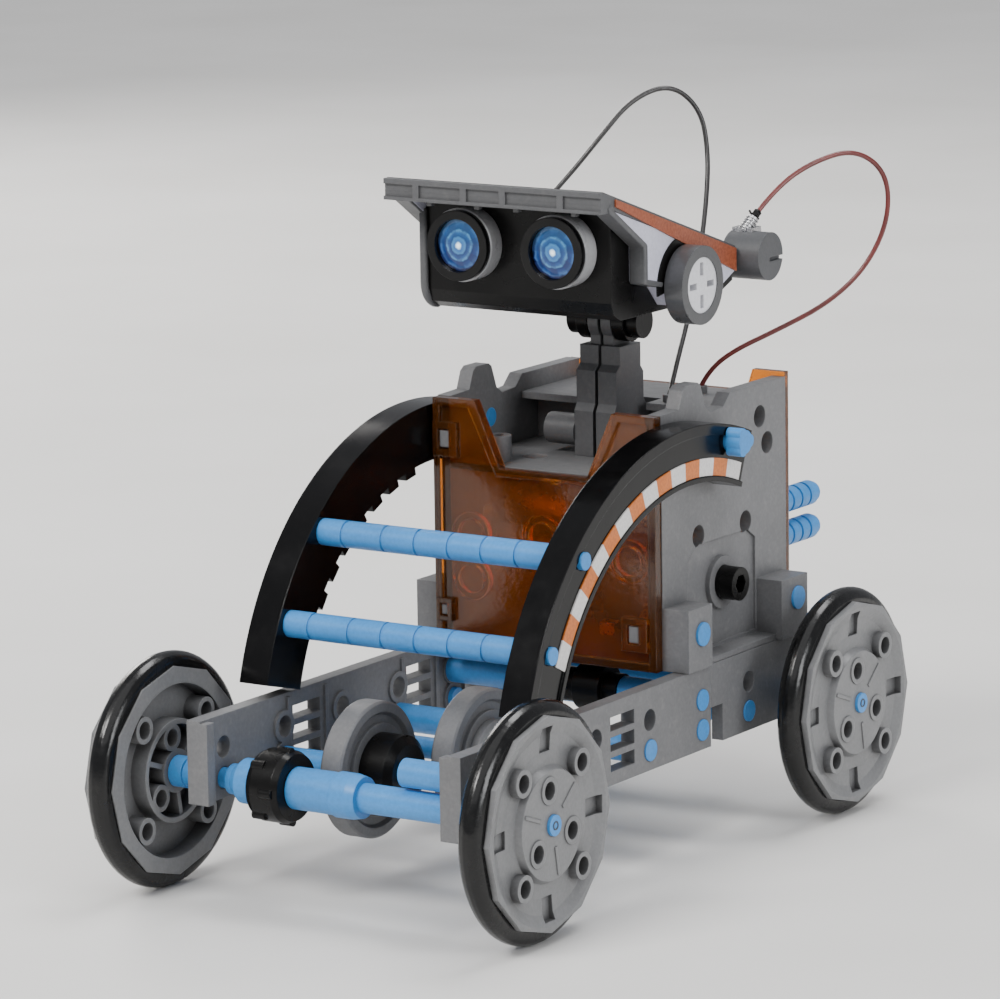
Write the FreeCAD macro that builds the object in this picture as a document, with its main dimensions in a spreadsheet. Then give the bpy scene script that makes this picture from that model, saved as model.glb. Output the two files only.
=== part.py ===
import FreeCAD, Part
import math
import os
import re
import Sketcher

from FreeCAD import Placement, Rotation, Vector

# Solar-powered toy robot on four wheels, in millimetres. +Z is up, the front is -Y and the origin
# is on the ground under the middle of the wheelbase, which is also the middle of the outline.

SIZES = {
    # wheels and axles
    "half_base": 56.0, "axle_height": 22.5, "axle_radius": 1.95, "axle_end": 46.0,
    "tyre_radius": 22.5, "tyre_cord": 2.5, "tyre_plane": 41.2, "disc_radius": 20.0,
    "disc_outer": 45.4, "disc_inner": 38.4, "disc_web": 41.9, "disc_flats": 20.15,
    "plateau_radius": 10.2, "valley_depth": 1.6, "hub_radius": 4.2, "boss_circle": 13.7,
    "boss_radius": 2.6, "lug_hole": 1.7, "inner_circle": 6.7,
    # side rails and rear beams
    "rail_inner": 27.5, "rail_outer": 30.5, "rail_bottom": 18.6, "rail_top": 34.6,
    "rail_front": -63.3, "rail_rear": 24.0, "beam_rear": 62.0, "beam_outer": 30.0,
    "row_low": 22.5, "row_high": 28.4, "column_pitch": 19.2, "peg_hole": 2.1, "peg_radius": 2.08,
    "drum_reach": 12.8,
    "slot_height": 2.7, "slot_step": 3.9, "slot_bottom": 21.2,
    # gearbox
    "plate_inner": 22.5, "plate_outer": 25.5, "box_front": 14.8, "box_rear": 61.7,
    "box_bottom": 34.7, "box_top": 85.0, "horn_top": 88.8, "lug_outer": 31.3, "lug_top": 47.0,
    "cover_face": 13.4, "cover_lip": 12.6, "deck_top": 71.5, "roof_top": 81.5, "floor_top": 36.0,
    "output_along": 36.5, "output_height": 48.3, "boss_outer": 3.3,
    "middle_along": 48.45, "middle_height": 55.2, "motor_along": 37.02, "motor_height": 61.8,
    "transfer_along": 48.43, "transfer_height": 37.05, "motor_radius": 7.8,
    # swinging arms
    "arm_pivot_along": 29.0, "arm_pivot_height": 78.0, "arch_along": 15.0, "arch_height": 22.0,
    "arch_inner": 49.7, "arch_outer": 60.8, "arch_near": 26.0, "arch_far": 32.4,
    "arch_start": 68.7, "arch_end": 165.0, "tube_radius": 2.6,
    "upper_tube_along": -24.0, "upper_tube_height": 63.9,
    "lower_tube_along": -35.6, "lower_tube_height": 48.2,
    # neck and head
    "tilt_along": 37.5, "tilt_height": 98.0, "eye_lug": 4.0, "pin_radius": 1.5,
    "panel_front": -3.0, "panel_front_height": 129.4, "panel_slope": 18.73, "panel_length": 54.8,
    "panel_half": 24.3, "panel_thick": 2.6, "housing_half": 20.8, "housing_bottom": 103.3,
    "lens_side": 10.65, "lens_height": 116.6, "barrel_radius": 7.1,
    "ear_along": 25.0, "ear_height": 108.4, "ear_radius": 7.6, "ear_hub": 5.4,
    "drum_along": 50.0, "drum_height": 110.7, "drum_radius": 4.7,
    "wire_radius": 0.5,
}

doc = FreeCAD.newDocument("SolarRobot")
sheet = doc.addObject("Spreadsheet::Sheet", "Sizes")
for row, (alias, number) in enumerate(SIZES.items(), start=1):
    sheet.set("A%d" % row, alias)
    sheet.set("B%d" % row, str(number))
    sheet.setAlias("B%d" % row, alias)
doc.recompute()

NODES = {}


def cells(text):
    """Give an expression in which every size name points at its cell."""
    def point_at(word):
        return "Sizes." + word.group() if word.group() in SIZES else word.group()
    return re.sub(r"[a-z][a-z_]+", point_at, str(text))


def value(text):
    """Work an expression out as a plain number."""
    return float(sheet.evalExpression(cells(text)))


def keep(name, item):
    """Name a finished sub-part after its file."""
    item.Label = name
    NODES[name] = item
    return item


def place(item, x, y, z, turn=None):
    """Bind an object's position to the sheet, with an optional turn."""
    item.Placement = Placement(Vector(value(x), value(y), value(z)), turn or Rotation())
    for axis, text in zip("xyz", (x, y, z)):
        item.setExpression("Placement.Base." + axis, cells(text))
    return item


ALONG_X = Rotation(Vector(0, 1, 0), 90)
# Turns local Z to +X and local X to +Y, so that an angle is counted up from +Y.
AXIS_TO_X = Rotation(Vector(0, 1, 0), Vector(0, 0, 1), Vector(1, 0, 0), "ZXY")


# ---- primitives -----------------------------------------------------------------------------

def rod(name, radius, start, end, y, z):
    """A round bar along X from start to end."""
    item = doc.addObject("Part::Cylinder", name)
    item.setExpression("Radius", cells(radius))
    item.setExpression("Height", cells("(%s) - (%s)" % (end, start)))
    return place(item, start, y, z, ALONG_X)


def upright(name, radius, x, y, bottom, top):
    """A round bar along Z."""
    item = doc.addObject("Part::Cylinder", name)
    item.setExpression("Radius", cells(radius))
    item.setExpression("Height", cells("(%s) - (%s)" % (top, bottom)))
    return place(item, x, y, bottom)


def lengthwise(name, radius, x, start, end, z):
    """A round bar along Y."""
    item = doc.addObject("Part::Cylinder", name)
    item.setExpression("Radius", cells(radius))
    item.setExpression("Height", cells("(%s) - (%s)" % (end, start)))
    return place(item, x, start, z, Rotation(Vector(1, 0, 0), -90))


def block(name, x, y, z):
    """A box between two places on each axis, given as (low, high) pairs."""
    item = doc.addObject("Part::Box", name)
    for size, (low, high) in (("Length", x), ("Width", y), ("Height", z)):
        item.setExpression(size, cells("(%s) - (%s)" % (high, low)))
    return place(item, x[0], y[0], z[0])


def radial_block(name, x, centre, reach, half, degrees):
    """A box along a radius about an axis along X, at an angle counted up from +Y."""
    along, height = centre
    near, far = reach
    turn = math.radians(degrees)
    item = block(name, x, (near, far), ("-(%s)" % half, half))
    y = "%s + (%s) * %.6f + (%s) * %.6f" % (along, near, math.cos(turn), half, math.sin(turn))
    z = "%s + (%s) * %.6f - (%s) * %.6f" % (height, near, math.sin(turn), half, math.cos(turn))
    return place(item, x[0], y, z, Rotation(Vector(1, 0, 0), degrees))


def fuse(name, pieces):
    item = doc.addObject("Part::MultiFuse", name)
    item.Shapes = pieces
    return item


def cut(name, base, tools):
    """Take one or more tools away from a base."""
    item = doc.addObject("Part::Cut", name)
    item.Base = base
    item.Tool = tools[0] if len(tools) == 1 else fuse(name + "_tools", tools)
    return item


def group(name, pieces):
    """Several separate solids that are one node."""
    item = doc.addObject("Part::Compound", name)
    item.Links = pieces
    return keep(name, item)


# ---- sketched bodies ------------------------------------------------------------------------

def new_body(name):
    return doc.addObject("PartDesign::Body", name)


def sketch_on(body, name, role, offset, loops=(), circles=()):
    """A sketch on one of the body's origin planes, every point of it held by the sheet."""
    sketch = body.newObject("Sketcher::SketchObject", name)
    plane = [item for item in body.Origin.OriginFeatures if item.Role == role][0]
    sketch.AttachmentSupport = [(plane, "")]
    sketch.MapMode = "FlatFace"
    sketch.setExpression("AttachmentOffset.Base.z", cells(offset))
    for corners in loops:
        add_loop(sketch, corners)
    for across, up, radius in circles:
        centre = Vector(value(across), value(up), 0)
        ring = sketch.addGeometry(Part.Circle(centre, Vector(0, 0, 1), value(radius)))
        bind(sketch, Sketcher.Constraint("Radius", ring, value(radius)), radius)
        hold_point(sketch, ring, 3, across, up)
    return sketch


def bind(sketch, constraint, text):
    index = sketch.addConstraint(constraint)
    sketch.setExpression("Constraints[%d]" % index, cells(text))


def hold_point(sketch, element, point, across, up):
    """Hold a point of a sketch at a place measured from its origin."""
    bind(sketch, Sketcher.Constraint("DistanceX", -1, 1, element, point, value(across)), across)
    bind(sketch, Sketcher.Constraint("DistanceY", -1, 1, element, point, value(up)), up)


def add_loop(sketch, corners):
    """A closed outline through the corners."""
    points = [Vector(value(across), value(up), 0) for across, up in corners]
    lines = []
    for index, point in enumerate(points):
        following = points[(index + 1) % len(points)]
        lines.append(sketch.addGeometry(Part.LineSegment(point, following)))
    for index, line in enumerate(lines):
        following = lines[(index + 1) % len(lines)]
        sketch.addConstraint(Sketcher.Constraint("Coincident", line, 2, following, 1))
    for line, (across, up) in zip(lines, corners):
        hold_point(sketch, line, 1, across, up)


def rectangle(low, bottom, high, top):
    return [(low, bottom), (high, bottom), (high, top), (low, top)]


def pad(body, sketch, length):
    feature = body.newObject("PartDesign::Pad", sketch.Name + "_pad")
    feature.Profile = sketch
    feature.setExpression("Length", cells(length))
    doc.recompute()
    return feature


def pocket(body, sketch, length):
    """Cut the sketch into the body against its plane's normal, and see that it took material."""
    before = body.Shape.Volume
    feature = body.newObject("PartDesign::Pocket", sketch.Name + "_pocket")
    feature.Profile = sketch
    feature.setExpression("Length", cells(length))
    doc.recompute()
    if body.Shape.Volume > before - 0.01:
        raise RuntimeError(sketch.Name + " cuts nothing")
    return feature


def revolve(body, sketch):
    """Turn a sketched section about the sketch's own X axis."""
    feature = body.newObject("PartDesign::Revolution", sketch.Name + "_turned")
    feature.Profile = sketch
    feature.ReferenceAxis = (sketch, ["H_Axis"])
    feature.Angle = 360
    doc.recompute()
    return feature


def turned(name, section, x, y, z):
    """A turned piece: a section of (along, radius) corners, placed on an axis along X."""
    body = new_body(name)
    revolve(body, sketch_on(body, name + "_section", "XZ_Plane", "0", [section]))
    return place(body, x, y, z)


def side_name(side):
    return "right" if side > 0 else "left"


def span(side, inner, outer):
    """The low and high X of something between two distances from the middle, on one side."""
    if side > 0:
        return inner, outer
    return "-(%s)" % outer, "-(%s)" % inner


def plate(name, side, inner, outer, loops):
    """A flat piece in the YZ plane between two distances from the middle."""
    low, high = span(side, inner, outer)
    body = new_body(name)
    sketch = sketch_on(body, name + "_outline", "YZ_Plane", low, loops)
    pad(body, sketch, "(%s) - (%s)" % (high, low))
    return body


def add_plate(body, name, side, inner, outer, loops=(), circles=()):
    low, high = span(side, inner, outer)
    sketch = sketch_on(body, name, "YZ_Plane", low, loops, circles)
    pad(body, sketch, "(%s) - (%s)" % (high, low))


def cut_plate(body, name, side, inner, outer, loops=(), circles=()):
    """Cut outlines out of a plate between two distances from the middle."""
    low, high = span(side, inner, outer)
    sketch = sketch_on(body, name, "YZ_Plane", high, loops, circles)
    pocket(body, sketch, "(%s) - (%s)" % (high, low))


# ---- chassis --------------------------------------------------------------------------------

WINDOW_BAYS = {1: ((-33.5, -24.5), (-12.5, -4.0)), -1: ((-33.5, -24.5), (5.0, 13.5))}
FRONT_COLUMNS = ("-half_base", "-half_base + column_pitch", "-half_base + 2 * column_pitch",
                 "-half_base + 3 * column_pitch", "-half_base + 4 * column_pitch")


def side_rail(side):
    """One long rail: peg holes in two rows, laddered windows, a thick end at the front."""
    name = "rail_" + side_name(side)
    outline = rectangle("rail_front", "rail_bottom", "rail_rear", "rail_top")
    body = plate(name, side, "rail_inner", "rail_outer", [outline])
    end = rectangle("rail_front", "rail_bottom", "rail_front + 2.4", "rail_top - 0.4")
    add_plate(body, name + "_end", side, "rail_inner - 1.6", "rail_outer", [end])
    slots = []
    posts = []
    for start, stop in WINDOW_BAYS[side]:
        for step in range(3):
            low = "slot_bottom + %d * slot_step" % step
            slots.append(rectangle(start, low, stop, low + " + slot_height"))
        for post in (start - 2.2, stop + 1.2):
            posts.append(rectangle(post, "rail_bottom + 0.8", post + 1.0, "rail_top - 0.8"))
    cut_plate(body, name + "_slots", side, "rail_inner - 0.1", "rail_outer", slots)
    add_plate(body, name + "_posts", side, "rail_inner - 0.5", "rail_inner + 0.2", posts)
    add_plate(body, name + "_collars", side, "rail_inner - 0.5", "rail_inner + 0.2", [],
              [(column, row, "peg_hole + 1.0") for column in FRONT_COLUMNS[1:]
               for row in ("row_low", "row_high")])
    holes = [(column, row, "peg_hole") for column in FRONT_COLUMNS
             for row in ("row_low", "row_high")]
    cut_plate(body, name + "_holes", side, "rail_inner - 2", "rail_outer", [], holes)
    return keep(name, body)


def rear_beam(side):
    """The beam behind the rail, which carries the rear axle."""
    name = "beam_" + side_name(side)
    outline = [("rail_rear", "26"), ("rail_rear + 5.3", "26"),
               ("rail_rear + 5.3", "rail_bottom"), ("beam_rear - 3", "rail_bottom"),
               ("beam_rear", "rail_bottom + 3"), ("beam_rear", "rail_top"),
               ("rail_rear", "rail_top")]
    body = plate(name, side, "rail_inner", "beam_outer", [outline])
    holes = [("39.2", "row_low", "peg_hole"), ("39.2", "row_high", "peg_hole"),
             ("half_base", "axle_height", "peg_hole")]
    cut_plate(body, name + "_holes", side, "rail_inner - 1", "beam_outer", [], holes)
    return body


def cross_rods():
    """Blue rods across the chassis: three tie it together, two carry the rollers."""
    places = (("-half_base + 3 * column_pitch", "row_low", "rail_outer + 0.3", "0"),
              ("-half_base + 4 * column_pitch", "row_high", "rail_outer + 0.3", "drum_reach"),
              ("39.2", "row_low", "beam_outer + 0.3", "0"))
    rods = []
    spacers = []
    for index, (along, height, end, near) in enumerate(places):
        tag = "cross_rod_%d" % index
        rods.append(rod(tag, "peg_radius", "-(%s)" % end, end, along, height))
        reach = "rail_inner - 0.5"
        stretches = [("-(%s)" % reach, reach)]
        if near != "0":
            stretches = [span(side, near, reach) for side in (1, -1)]
        for number, (low, high) in enumerate(stretches):
            mark = "%s_spacer_%d" % (tag, number)
            outer = rod(mark + "_outer", "2.75", low, high, along, height)
            inner = rod(mark + "_inner", "peg_radius", "-rail_inner", "rail_inner", along, height)
            spacers.append(cut(mark, outer, [inner]))
    for index in (1, 2):
        rods.append(rod("roller_rod_%d" % index, "peg_radius", "-rail_outer - 0.2",
                        "rail_outer + 0.2", FRONT_COLUMNS[index], "row_low"))
    group("cross_rods", rods)
    group("rod_spacers", spacers)


def rod_drum():
    """The black stepped drum in the middle of the upper cross rod."""
    section = [("-drum_reach + 0.1", "peg_radius"), ("drum_reach - 0.1", "peg_radius"),
               ("drum_reach - 0.1", "3.2"), ("9.5", "3.2"), ("9.5", "4.6"), ("3.5", "4.6"),
               ("3.5", "3.4"), ("-3.5", "3.4"), ("-3.5", "4.6"), ("-9.5", "4.6"),
               ("-9.5", "3.2"), ("-drum_reach + 0.1", "3.2")]
    keep("rod_drum", turned("rod_drum", section, "0", FRONT_COLUMNS[4], "row_high"))


def front_peg():
    """The short blue peg in the upper front hole of the right rail."""
    head = rod("front_peg_head", "2.7", "13.5", "rail_inner - 1.6", "-half_base", "row_high")
    stem = rod("front_peg_stem", "peg_radius", "rail_inner - 1.6", "rail_outer + 0.2",
               "-half_base", "row_high")
    return fuse("front_peg", [head, stem])


def rail_pegs():
    """The short pegs in the last lower hole of each rail."""
    pegs = []
    for side in (1, -1):
        low, high = span(side, "rail_inner - 1.5", "rail_outer + 0.3")
        pegs.append(rod("rail_peg_" + side_name(side), "peg_radius", low, high,
                        FRONT_COLUMNS[4], "row_low"))
    return pegs


# ---- gearbox --------------------------------------------------------------------------------

def gearbox_side(side):
    """One grey side plate with its top profile, two lugs, peg holes and bearing seats."""
    name = "gearbox_" + side_name(side)
    outline = [("box_front", "box_bottom"), ("box_rear", "box_bottom"), ("box_rear", "box_top"),
               ("40.5", "box_top"), ("38", "82.7"), ("33.2", "82.3"), ("31.2", "83.6"),
               ("29.4", "horn_top - 0.6"), ("28.4", "horn_top"), ("24", "horn_top"),
               ("22.8", "horn_top - 0.8"), ("21.4", "84.6"), ("box_front", "84.4")]
    body = plate(name, side, "plate_inner", "plate_outer", [outline])
    lugs = [rectangle("box_front", "box_bottom", "23.5", "lug_top"),
            rectangle("50", "box_bottom", "60", "lug_top - 0.5")]
    add_plate(body, name + "_lugs", side, "plate_outer - 0.2", "lug_outer", lugs)
    ledge = rectangle("23.4", "box_bottom", "50.1", "box_bottom + 1.1")
    add_plate(body, name + "_ledge", side, "plate_outer - 0.2", "lug_outer - 1.3", [ledge])
    recess = [("23.9", "box_bottom + 1.8"), ("49.6", "box_bottom + 1.8"), ("49.6", "55"),
              ("46.5", "57"), ("27", "57"), ("23.9", "54.5")]
    cut_plate(body, name + "_recess", side, "plate_outer - 0.5", "plate_outer + 0.1", [recess])
    add_plate(body, name + "_collar", side, "plate_outer - 0.6", "plate_outer + 0.6", [],
              [("output_along", "output_height", "boss_outer + 1.9")])
    bores = [("51.7", "78.6", "2.2"), ("54.5", "73.0", "2.2"), ("28.2", "58.8", "2.2"),
             ("46.0", "58.6", "2.2"), ("arm_pivot_along", "arm_pivot_height", "1.9"),
             ("output_along", "output_height", "boss_outer + 0.08")]
    cut_plate(body, name + "_bores", side, "plate_inner - 0.1", "plate_outer + 0.7", [], bores)
    pins = [("19.7", "41.7", "2.3"), ("56", "42.2", "2.3")]
    cut_plate(body, name + "_pin_seats", side, "lug_outer - 4", "lug_outer + 0.1", [], pins)
    seats = [("middle_along", "middle_height", "1.56"),
             ("transfer_along", "transfer_height", "1.56")]
    cut_plate(body, name + "_seats", side, "plate_inner - 0.1", "plate_inner + 1.5", [], seats)
    return keep(name, body)


def lug_pins():
    """The blue pins in the gearbox lugs."""
    pins = []
    for side in (1, -1):
        for index, (along, height) in enumerate((("19.7", "41.7"), ("56", "42.2"))):
            low, high = span(side, "lug_outer - 4", "lug_outer + 0.5")
            tag = "lug_pin_%s_%d" % (side_name(side), index)
            pins.append(rod(tag, "2.3", low, high, along, height))
    return pins


def notched(inset):
    """The front cover's outline: a plate with a flared notch in its top, moved in by an inset."""
    half = "plate_outer - 0.2 - %s" % inset
    mouth = "15.7 + %s" % inset
    seat = "10 + %s" % (inset * 0.6)
    top = "84.3 - %s" % inset
    bottom = "box_bottom + %s" % inset
    floor = "71.3 - %s" % inset
    right = [(half, bottom), (half, top), (mouth, top), (seat, floor)]
    left = [("-(%s)" % across, up) for across, up in reversed(right)]
    return right + left


def front_cover():
    """The see-through front cover: lipped plate, latches and moulded rings behind it."""
    body = new_body("front_cover")
    face = sketch_on(body, "cover_face_outline", "XZ_Plane", "-box_front", [notched(0)])
    pad(body, face, "box_front - cover_face")
    lip = sketch_on(body, "cover_lip_outline", "XZ_Plane", "-box_front",
                    [notched(0), notched(1.5)])
    pad(body, lip, "box_front - cover_lip")
    rings = [("-18.1", "57.5"), ("-18.1", "48.5"), ("-1.7", "58.3"), ("18.1", "55.5")]
    outer = [(across, up, "4.2") for across, up in rings]
    inner = [(across, up, "2.9") for across, up in rings]
    moulded = sketch_on(body, "cover_rings", "XZ_Plane", "-box_front - 1.4", [], outer + inner)
    pad(body, moulded, "1.5")
    latches = [rectangle(-25.2, 72.8, -19.6, 79.6), rectangle(17.6, 38.4, 23.4, 45.0),
               rectangle(-25.0, 40.0, -21.4, 44.5)]
    windows = [rectangle(-24.0, 74.2, -21.4, 78.2), rectangle(18.9, 39.8, 21.6, 43.6),
               rectangle(-24.2, 41.0, -22.4, 43.5)]
    raised = sketch_on(body, "cover_latches", "XZ_Plane", "-cover_face - 0.2", latches + windows)
    pad(body, raised, "1.4")
    return keep("front_cover", body)


def rear_cover():
    """The see-through rear cover, with two short sockets for the tail pegs."""
    body = new_body("rear_cover")
    half = "plate_outer - 0.2"
    outline = [("-(%s)" % half, "box_bottom"), (half, "box_bottom"), (half, "box_top + 0.9"),
               ("18", "box_top + 0.9"), ("16.5", "roof_top"), ("-18", "roof_top"),
               ("-19", "box_top - 0.2"), ("-(%s)" % half, "box_top - 0.2")]
    sketch = sketch_on(body, "rear_cover_outline", "XZ_Plane", "-box_rear - 1.5", [outline])
    pad(body, sketch, "1.5")
    holes = sketch_on(body, "rear_cover_holes", "XZ_Plane", "-box_rear + 0.1", [],
                      [("21.6", "58.8", "2.1"), ("21.6", "52.0", "2.1")])
    pocket(body, holes, "1.7")
    return keep("rear_cover", body)


def tail_pegs():
    """Two ribbed pegs that stick out of the rear cover."""
    pegs = []
    for index, height in enumerate(("58.8", "52.0")):
        tag = "tail_peg_%d" % index
        pieces = [lengthwise(tag + "_core", "2.08", "21.6", "box_rear", "78.5", height)]
        for ring in range(4):
            start = 64.4 + ring * 3.4
            pieces.append(lengthwise("%s_ring_%d" % (tag, ring), "2.5", "21.6", start,
                                     start + 2.6, height))
        pegs.append(fuse(tag, pieces))
    group("tail_pegs", pegs)


def gearbox_inside():
    """The floor with its gear slot, the deck under the notch and the stepped roof."""
    half = "plate_inner - 0.05"
    across = ("-(%s)" % half, half)
    base = block("floor_plate", across, ("box_front", "box_rear"), ("box_bottom", "floor_top"))
    slot = block("floor_slot", ("10.5", "17.5"), ("36.2", "60.6"), ("30", "40"))
    groove = rod("floor_groove", "2.0", "-plate_inner", "plate_inner", "transfer_along",
                 "transfer_height")
    floor = cut("gearbox_floor", base, [slot, groove])
    deck = block("deck_plate", across, ("box_front", "46"), ("deck_top - 1.3", "deck_top"))
    hole = upright("deck_hole", "2.6", "-11", "27", "60", "80")
    boss = upright("deck_boss", "2.6", "-15", "20", "deck_top - 0.5", "deck_top + 5")
    bore = upright("deck_bore", "1.1", "-15", "20", "deck_top + 1", "deck_top + 6")
    deck_cut = cut("deck_open", deck, [hole])
    deck_done = cut("top_deck", fuse("deck_bossed", [deck_cut, boss]), [bore])
    group("gearbox_decks", [floor, deck_done])
    roof = block("roof_plate", across, ("40", "box_rear"), ("roof_top - 1.4", "roof_top"))
    wall = block("roof_wall", across, ("46", "47.2"), ("deck_top - 1.3", "roof_top - 1"))
    gap = block("roof_gap", ("-6.6", "6.6"), ("39", "45.8"), ("70", "90"))
    collars = [upright("wire_collar_%d" % index, "1.4", "10", y, "roof_top - 0.5", "83")
               for index, y in enumerate(("43.4", "55"))]
    walled = fuse("roof_walled", [roof, wall] + collars)
    keep("gearbox_roof", cut("gearbox_roof", walled, [gap]))


def involute(teeth, module, backlash):
    """One gear outline as points: involute flanks with thinned teeth, joined by short lines."""
    pitch = teeth * module / 2
    base = pitch * math.cos(math.radians(20))
    tip = pitch + 0.95 * module
    root = pitch - 1.2 * module
    half = math.pi / (2 * teeth) - backlash / (2 * pitch)
    roll = math.tan(math.radians(20)) - math.radians(20)
    flank = []
    steps = 4
    start = max(base, root)
    for step in range(steps + 1):
        radius = start + (tip - start) * step / steps
        angle = math.acos(min(1.0, base / radius))
        flank.append((radius, half + roll - (math.tan(angle) - angle)))
    points = []
    for tooth in range(teeth):
        middle = 2 * math.pi * tooth / teeth
        low = middle - flank[0][1]
        high = middle + flank[0][1]
        points.append((root, low))
        points.extend((radius, middle - turn) for radius, turn in flank)
        points.extend((radius, middle + turn) for radius, turn in reversed(flank))
        points.append((root, high))
    return points


def gear_solid(teeth, module, start, width, bore, phase):
    """A spur gear along X, its first tooth turned by the phase from +Y."""
    outline = [Vector(start, radius * math.cos(turn + phase), radius * math.sin(turn + phase))
               for radius, turn in involute(teeth, module, 0.16)]
    wire = Part.makePolygon(outline + outline[:1])
    solid = Part.Face(wire).extrude(Vector(width, 0, 0))
    if bore > 0:
        hole = Part.makeCylinder(bore, width + 2, Vector(start - 1, 0, 0), Vector(1, 0, 0))
        solid = solid.cut(hole)
    return solid


def shaft_solid(radius, start, end):
    return Part.makeCylinder(radius, end - start, Vector(start, 0, 0), Vector(1, 0, 0))


def turning_part(name, solid, along, height):
    """A Part::Feature whose shape turns about X at a place in the gearbox."""
    item = doc.addObject("Part::Feature", name)
    item.Shape = solid
    return keep(name, place(item, "0", along, height))


def mesh_phase(driver_phase, driver_teeth, teeth, along_from, height_from, along_to, height_to):
    """The phase that puts a gap of the driven gear where the driver's tooth meets it."""
    line = math.atan2(height_to - height_from, along_to - along_from)
    return line + math.pi + (line - driver_phase) * driver_teeth / teeth + math.pi / teeth


MODULE_FINE = 0.6
MODULE_COARSE = 0.8
MOTOR_TEETH = 10
MIDDLE_WHEEL = 34
MIDDLE_PINION = 10
OUTPUT_WHEEL = 36
OUTPUT_PINION = 16
TRANSFER_WHEEL = 25
AXLE_WHEEL = 16


def gear_train():
    """Motor pinion, middle gear, output gear, transfer gear and the gear on the rear axle."""
    motor = value("motor_along"), value("motor_height")
    middle = value("middle_along"), value("middle_height")
    output = value("output_along"), value("output_height")
    transfer = value("transfer_along"), value("transfer_height")
    axle = value("half_base"), value("axle_height")
    reach = value("plate_inner")
    boss = value("boss_outer")
    side = value("rail_outer") - 0.5

    pinion = gear_solid(MOTOR_TEETH, MODULE_FINE, -3.0, 3.4, 0, 0.0)
    turning_part("motor_pinion", pinion.fuse(shaft_solid(0.9, -4.7, 1.2)), "motor_along",
                 "motor_height")

    phase = mesh_phase(0.0, MOTOR_TEETH, MIDDLE_WHEEL, *motor, *middle)
    wheel = gear_solid(MIDDLE_WHEEL, MODULE_FINE, -3.0, 3.0, 0, phase)
    small = gear_solid(MIDDLE_PINION, MODULE_FINE, -0.2, 5.2, 0, 0.0)
    shaft = shaft_solid(1.5, -reach - 1.3, reach + 1.3)
    turning_part("middle_gear", wheel.fuse([small, shaft]), "middle_along", "middle_height")

    phase = mesh_phase(0.0, MIDDLE_PINION, OUTPUT_WHEEL, *middle, *output)
    wheel = gear_solid(OUTPUT_WHEEL, MODULE_FINE, 1.2, 3.4, 0, phase)
    drive = gear_solid(OUTPUT_PINION, MODULE_COARSE, 12.0, 4.0, 0, 0.0)
    shaft = shaft_solid(2.0, -reach - 0.5, reach + 0.5)
    solid = wheel.fuse([drive, shaft])
    for low in (-side, reach - 0.2):
        end = shaft_solid(boss, low, low + side - reach + 0.2)
        face = low if low < 0 else side - 2.5
        socket = hex_socket(1.7, face, 2.5)
        solid = solid.fuse(end).cut(socket)
    turning_part("output_shaft", solid, "output_along", "output_height")

    phase = mesh_phase(0.0, OUTPUT_PINION, TRANSFER_WHEEL, *output, *transfer)
    wheel = gear_solid(TRANSFER_WHEEL, MODULE_COARSE, 12.0, 4.0, 0, phase)
    shaft = shaft_solid(1.5, -reach - 1.3, reach + 1.3)
    turning_part("transfer_gear", wheel.fuse(shaft), "transfer_along", "transfer_height")

    phase = mesh_phase(phase, TRANSFER_WHEEL, AXLE_WHEEL, *transfer, *axle)
    wheel = gear_solid(AXLE_WHEEL, MODULE_COARSE, 12.0, 4.0, value("axle_radius"), phase)
    turning_part("rear_axle_gear", wheel, "half_base", "axle_height")


def hex_socket(across, start, depth):
    """A hexagonal socket along X, given by the distance from its middle to a flat."""
    corner = across / math.cos(math.radians(30))
    points = [Vector(start, corner * math.cos(math.radians(60 * index)),
                     corner * math.sin(math.radians(60 * index))) for index in range(6)]
    return Part.Face(Part.makePolygon(points + points[:1])).extrude(Vector(depth, 0, 0))


def motor():
    """The small motor, its end cap and the saddle that holds it to the left plate."""
    can = rod("motor_body", "motor_radius", "-18", "-5", "motor_along", "motor_height")
    nose = rod("motor_nose", "2.4", "-5", "-3.8", "motor_along", "motor_height")
    bore = rod("motor_bore", "1.0", "-6", "-3", "motor_along", "motor_height")
    cap = rod("motor_cap_disc", "motor_radius - 0.6", "-20", "-18", "motor_along",
              "motor_height")
    pip = rod("motor_cap_pip", "2.2", "-21", "-20", "motor_along", "motor_height")
    keep("motor_can", cut("motor_can", fuse("motor_whole", [can, nose, cap, pip]), [bore]))
    saddle = block("saddle_block", ("-22.4", "-16"),
                   ("motor_along - 6", "motor_along + 6"),
                   ("motor_height - 9.4", "motor_height - 4"))
    hollow = rod("saddle_hollow", "motor_radius", "-23", "-15", "motor_along", "motor_height")
    keep("motor_saddle", cut("motor_saddle", saddle, [hollow]))


# ---- wheels and axles -----------------------------------------------------------------------

DISC_SECTION = (
    ("disc_inner", "axle_radius"), ("disc_outer", "axle_radius"),
    ("disc_outer", "plateau_radius"), ("disc_outer - 1.3", "plateau_radius + 0.7"),
    ("disc_outer - valley_depth", "boss_circle"), ("disc_outer - 1.4", "16.6"),
    ("disc_outer - 0.5", "18.8"), ("disc_outer - 0.5", "disc_radius + 0.3"),
    ("disc_inner", "disc_radius + 0.3"), ("disc_inner", "16.6"), ("disc_web", "16.4"),
    ("disc_web", "9.9"), ("disc_inner", "9.9"), ("disc_inner", "8.9"), ("disc_web", "8.9"),
    ("disc_web", "hub_radius"), ("disc_inner", "hub_radius"))


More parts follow.
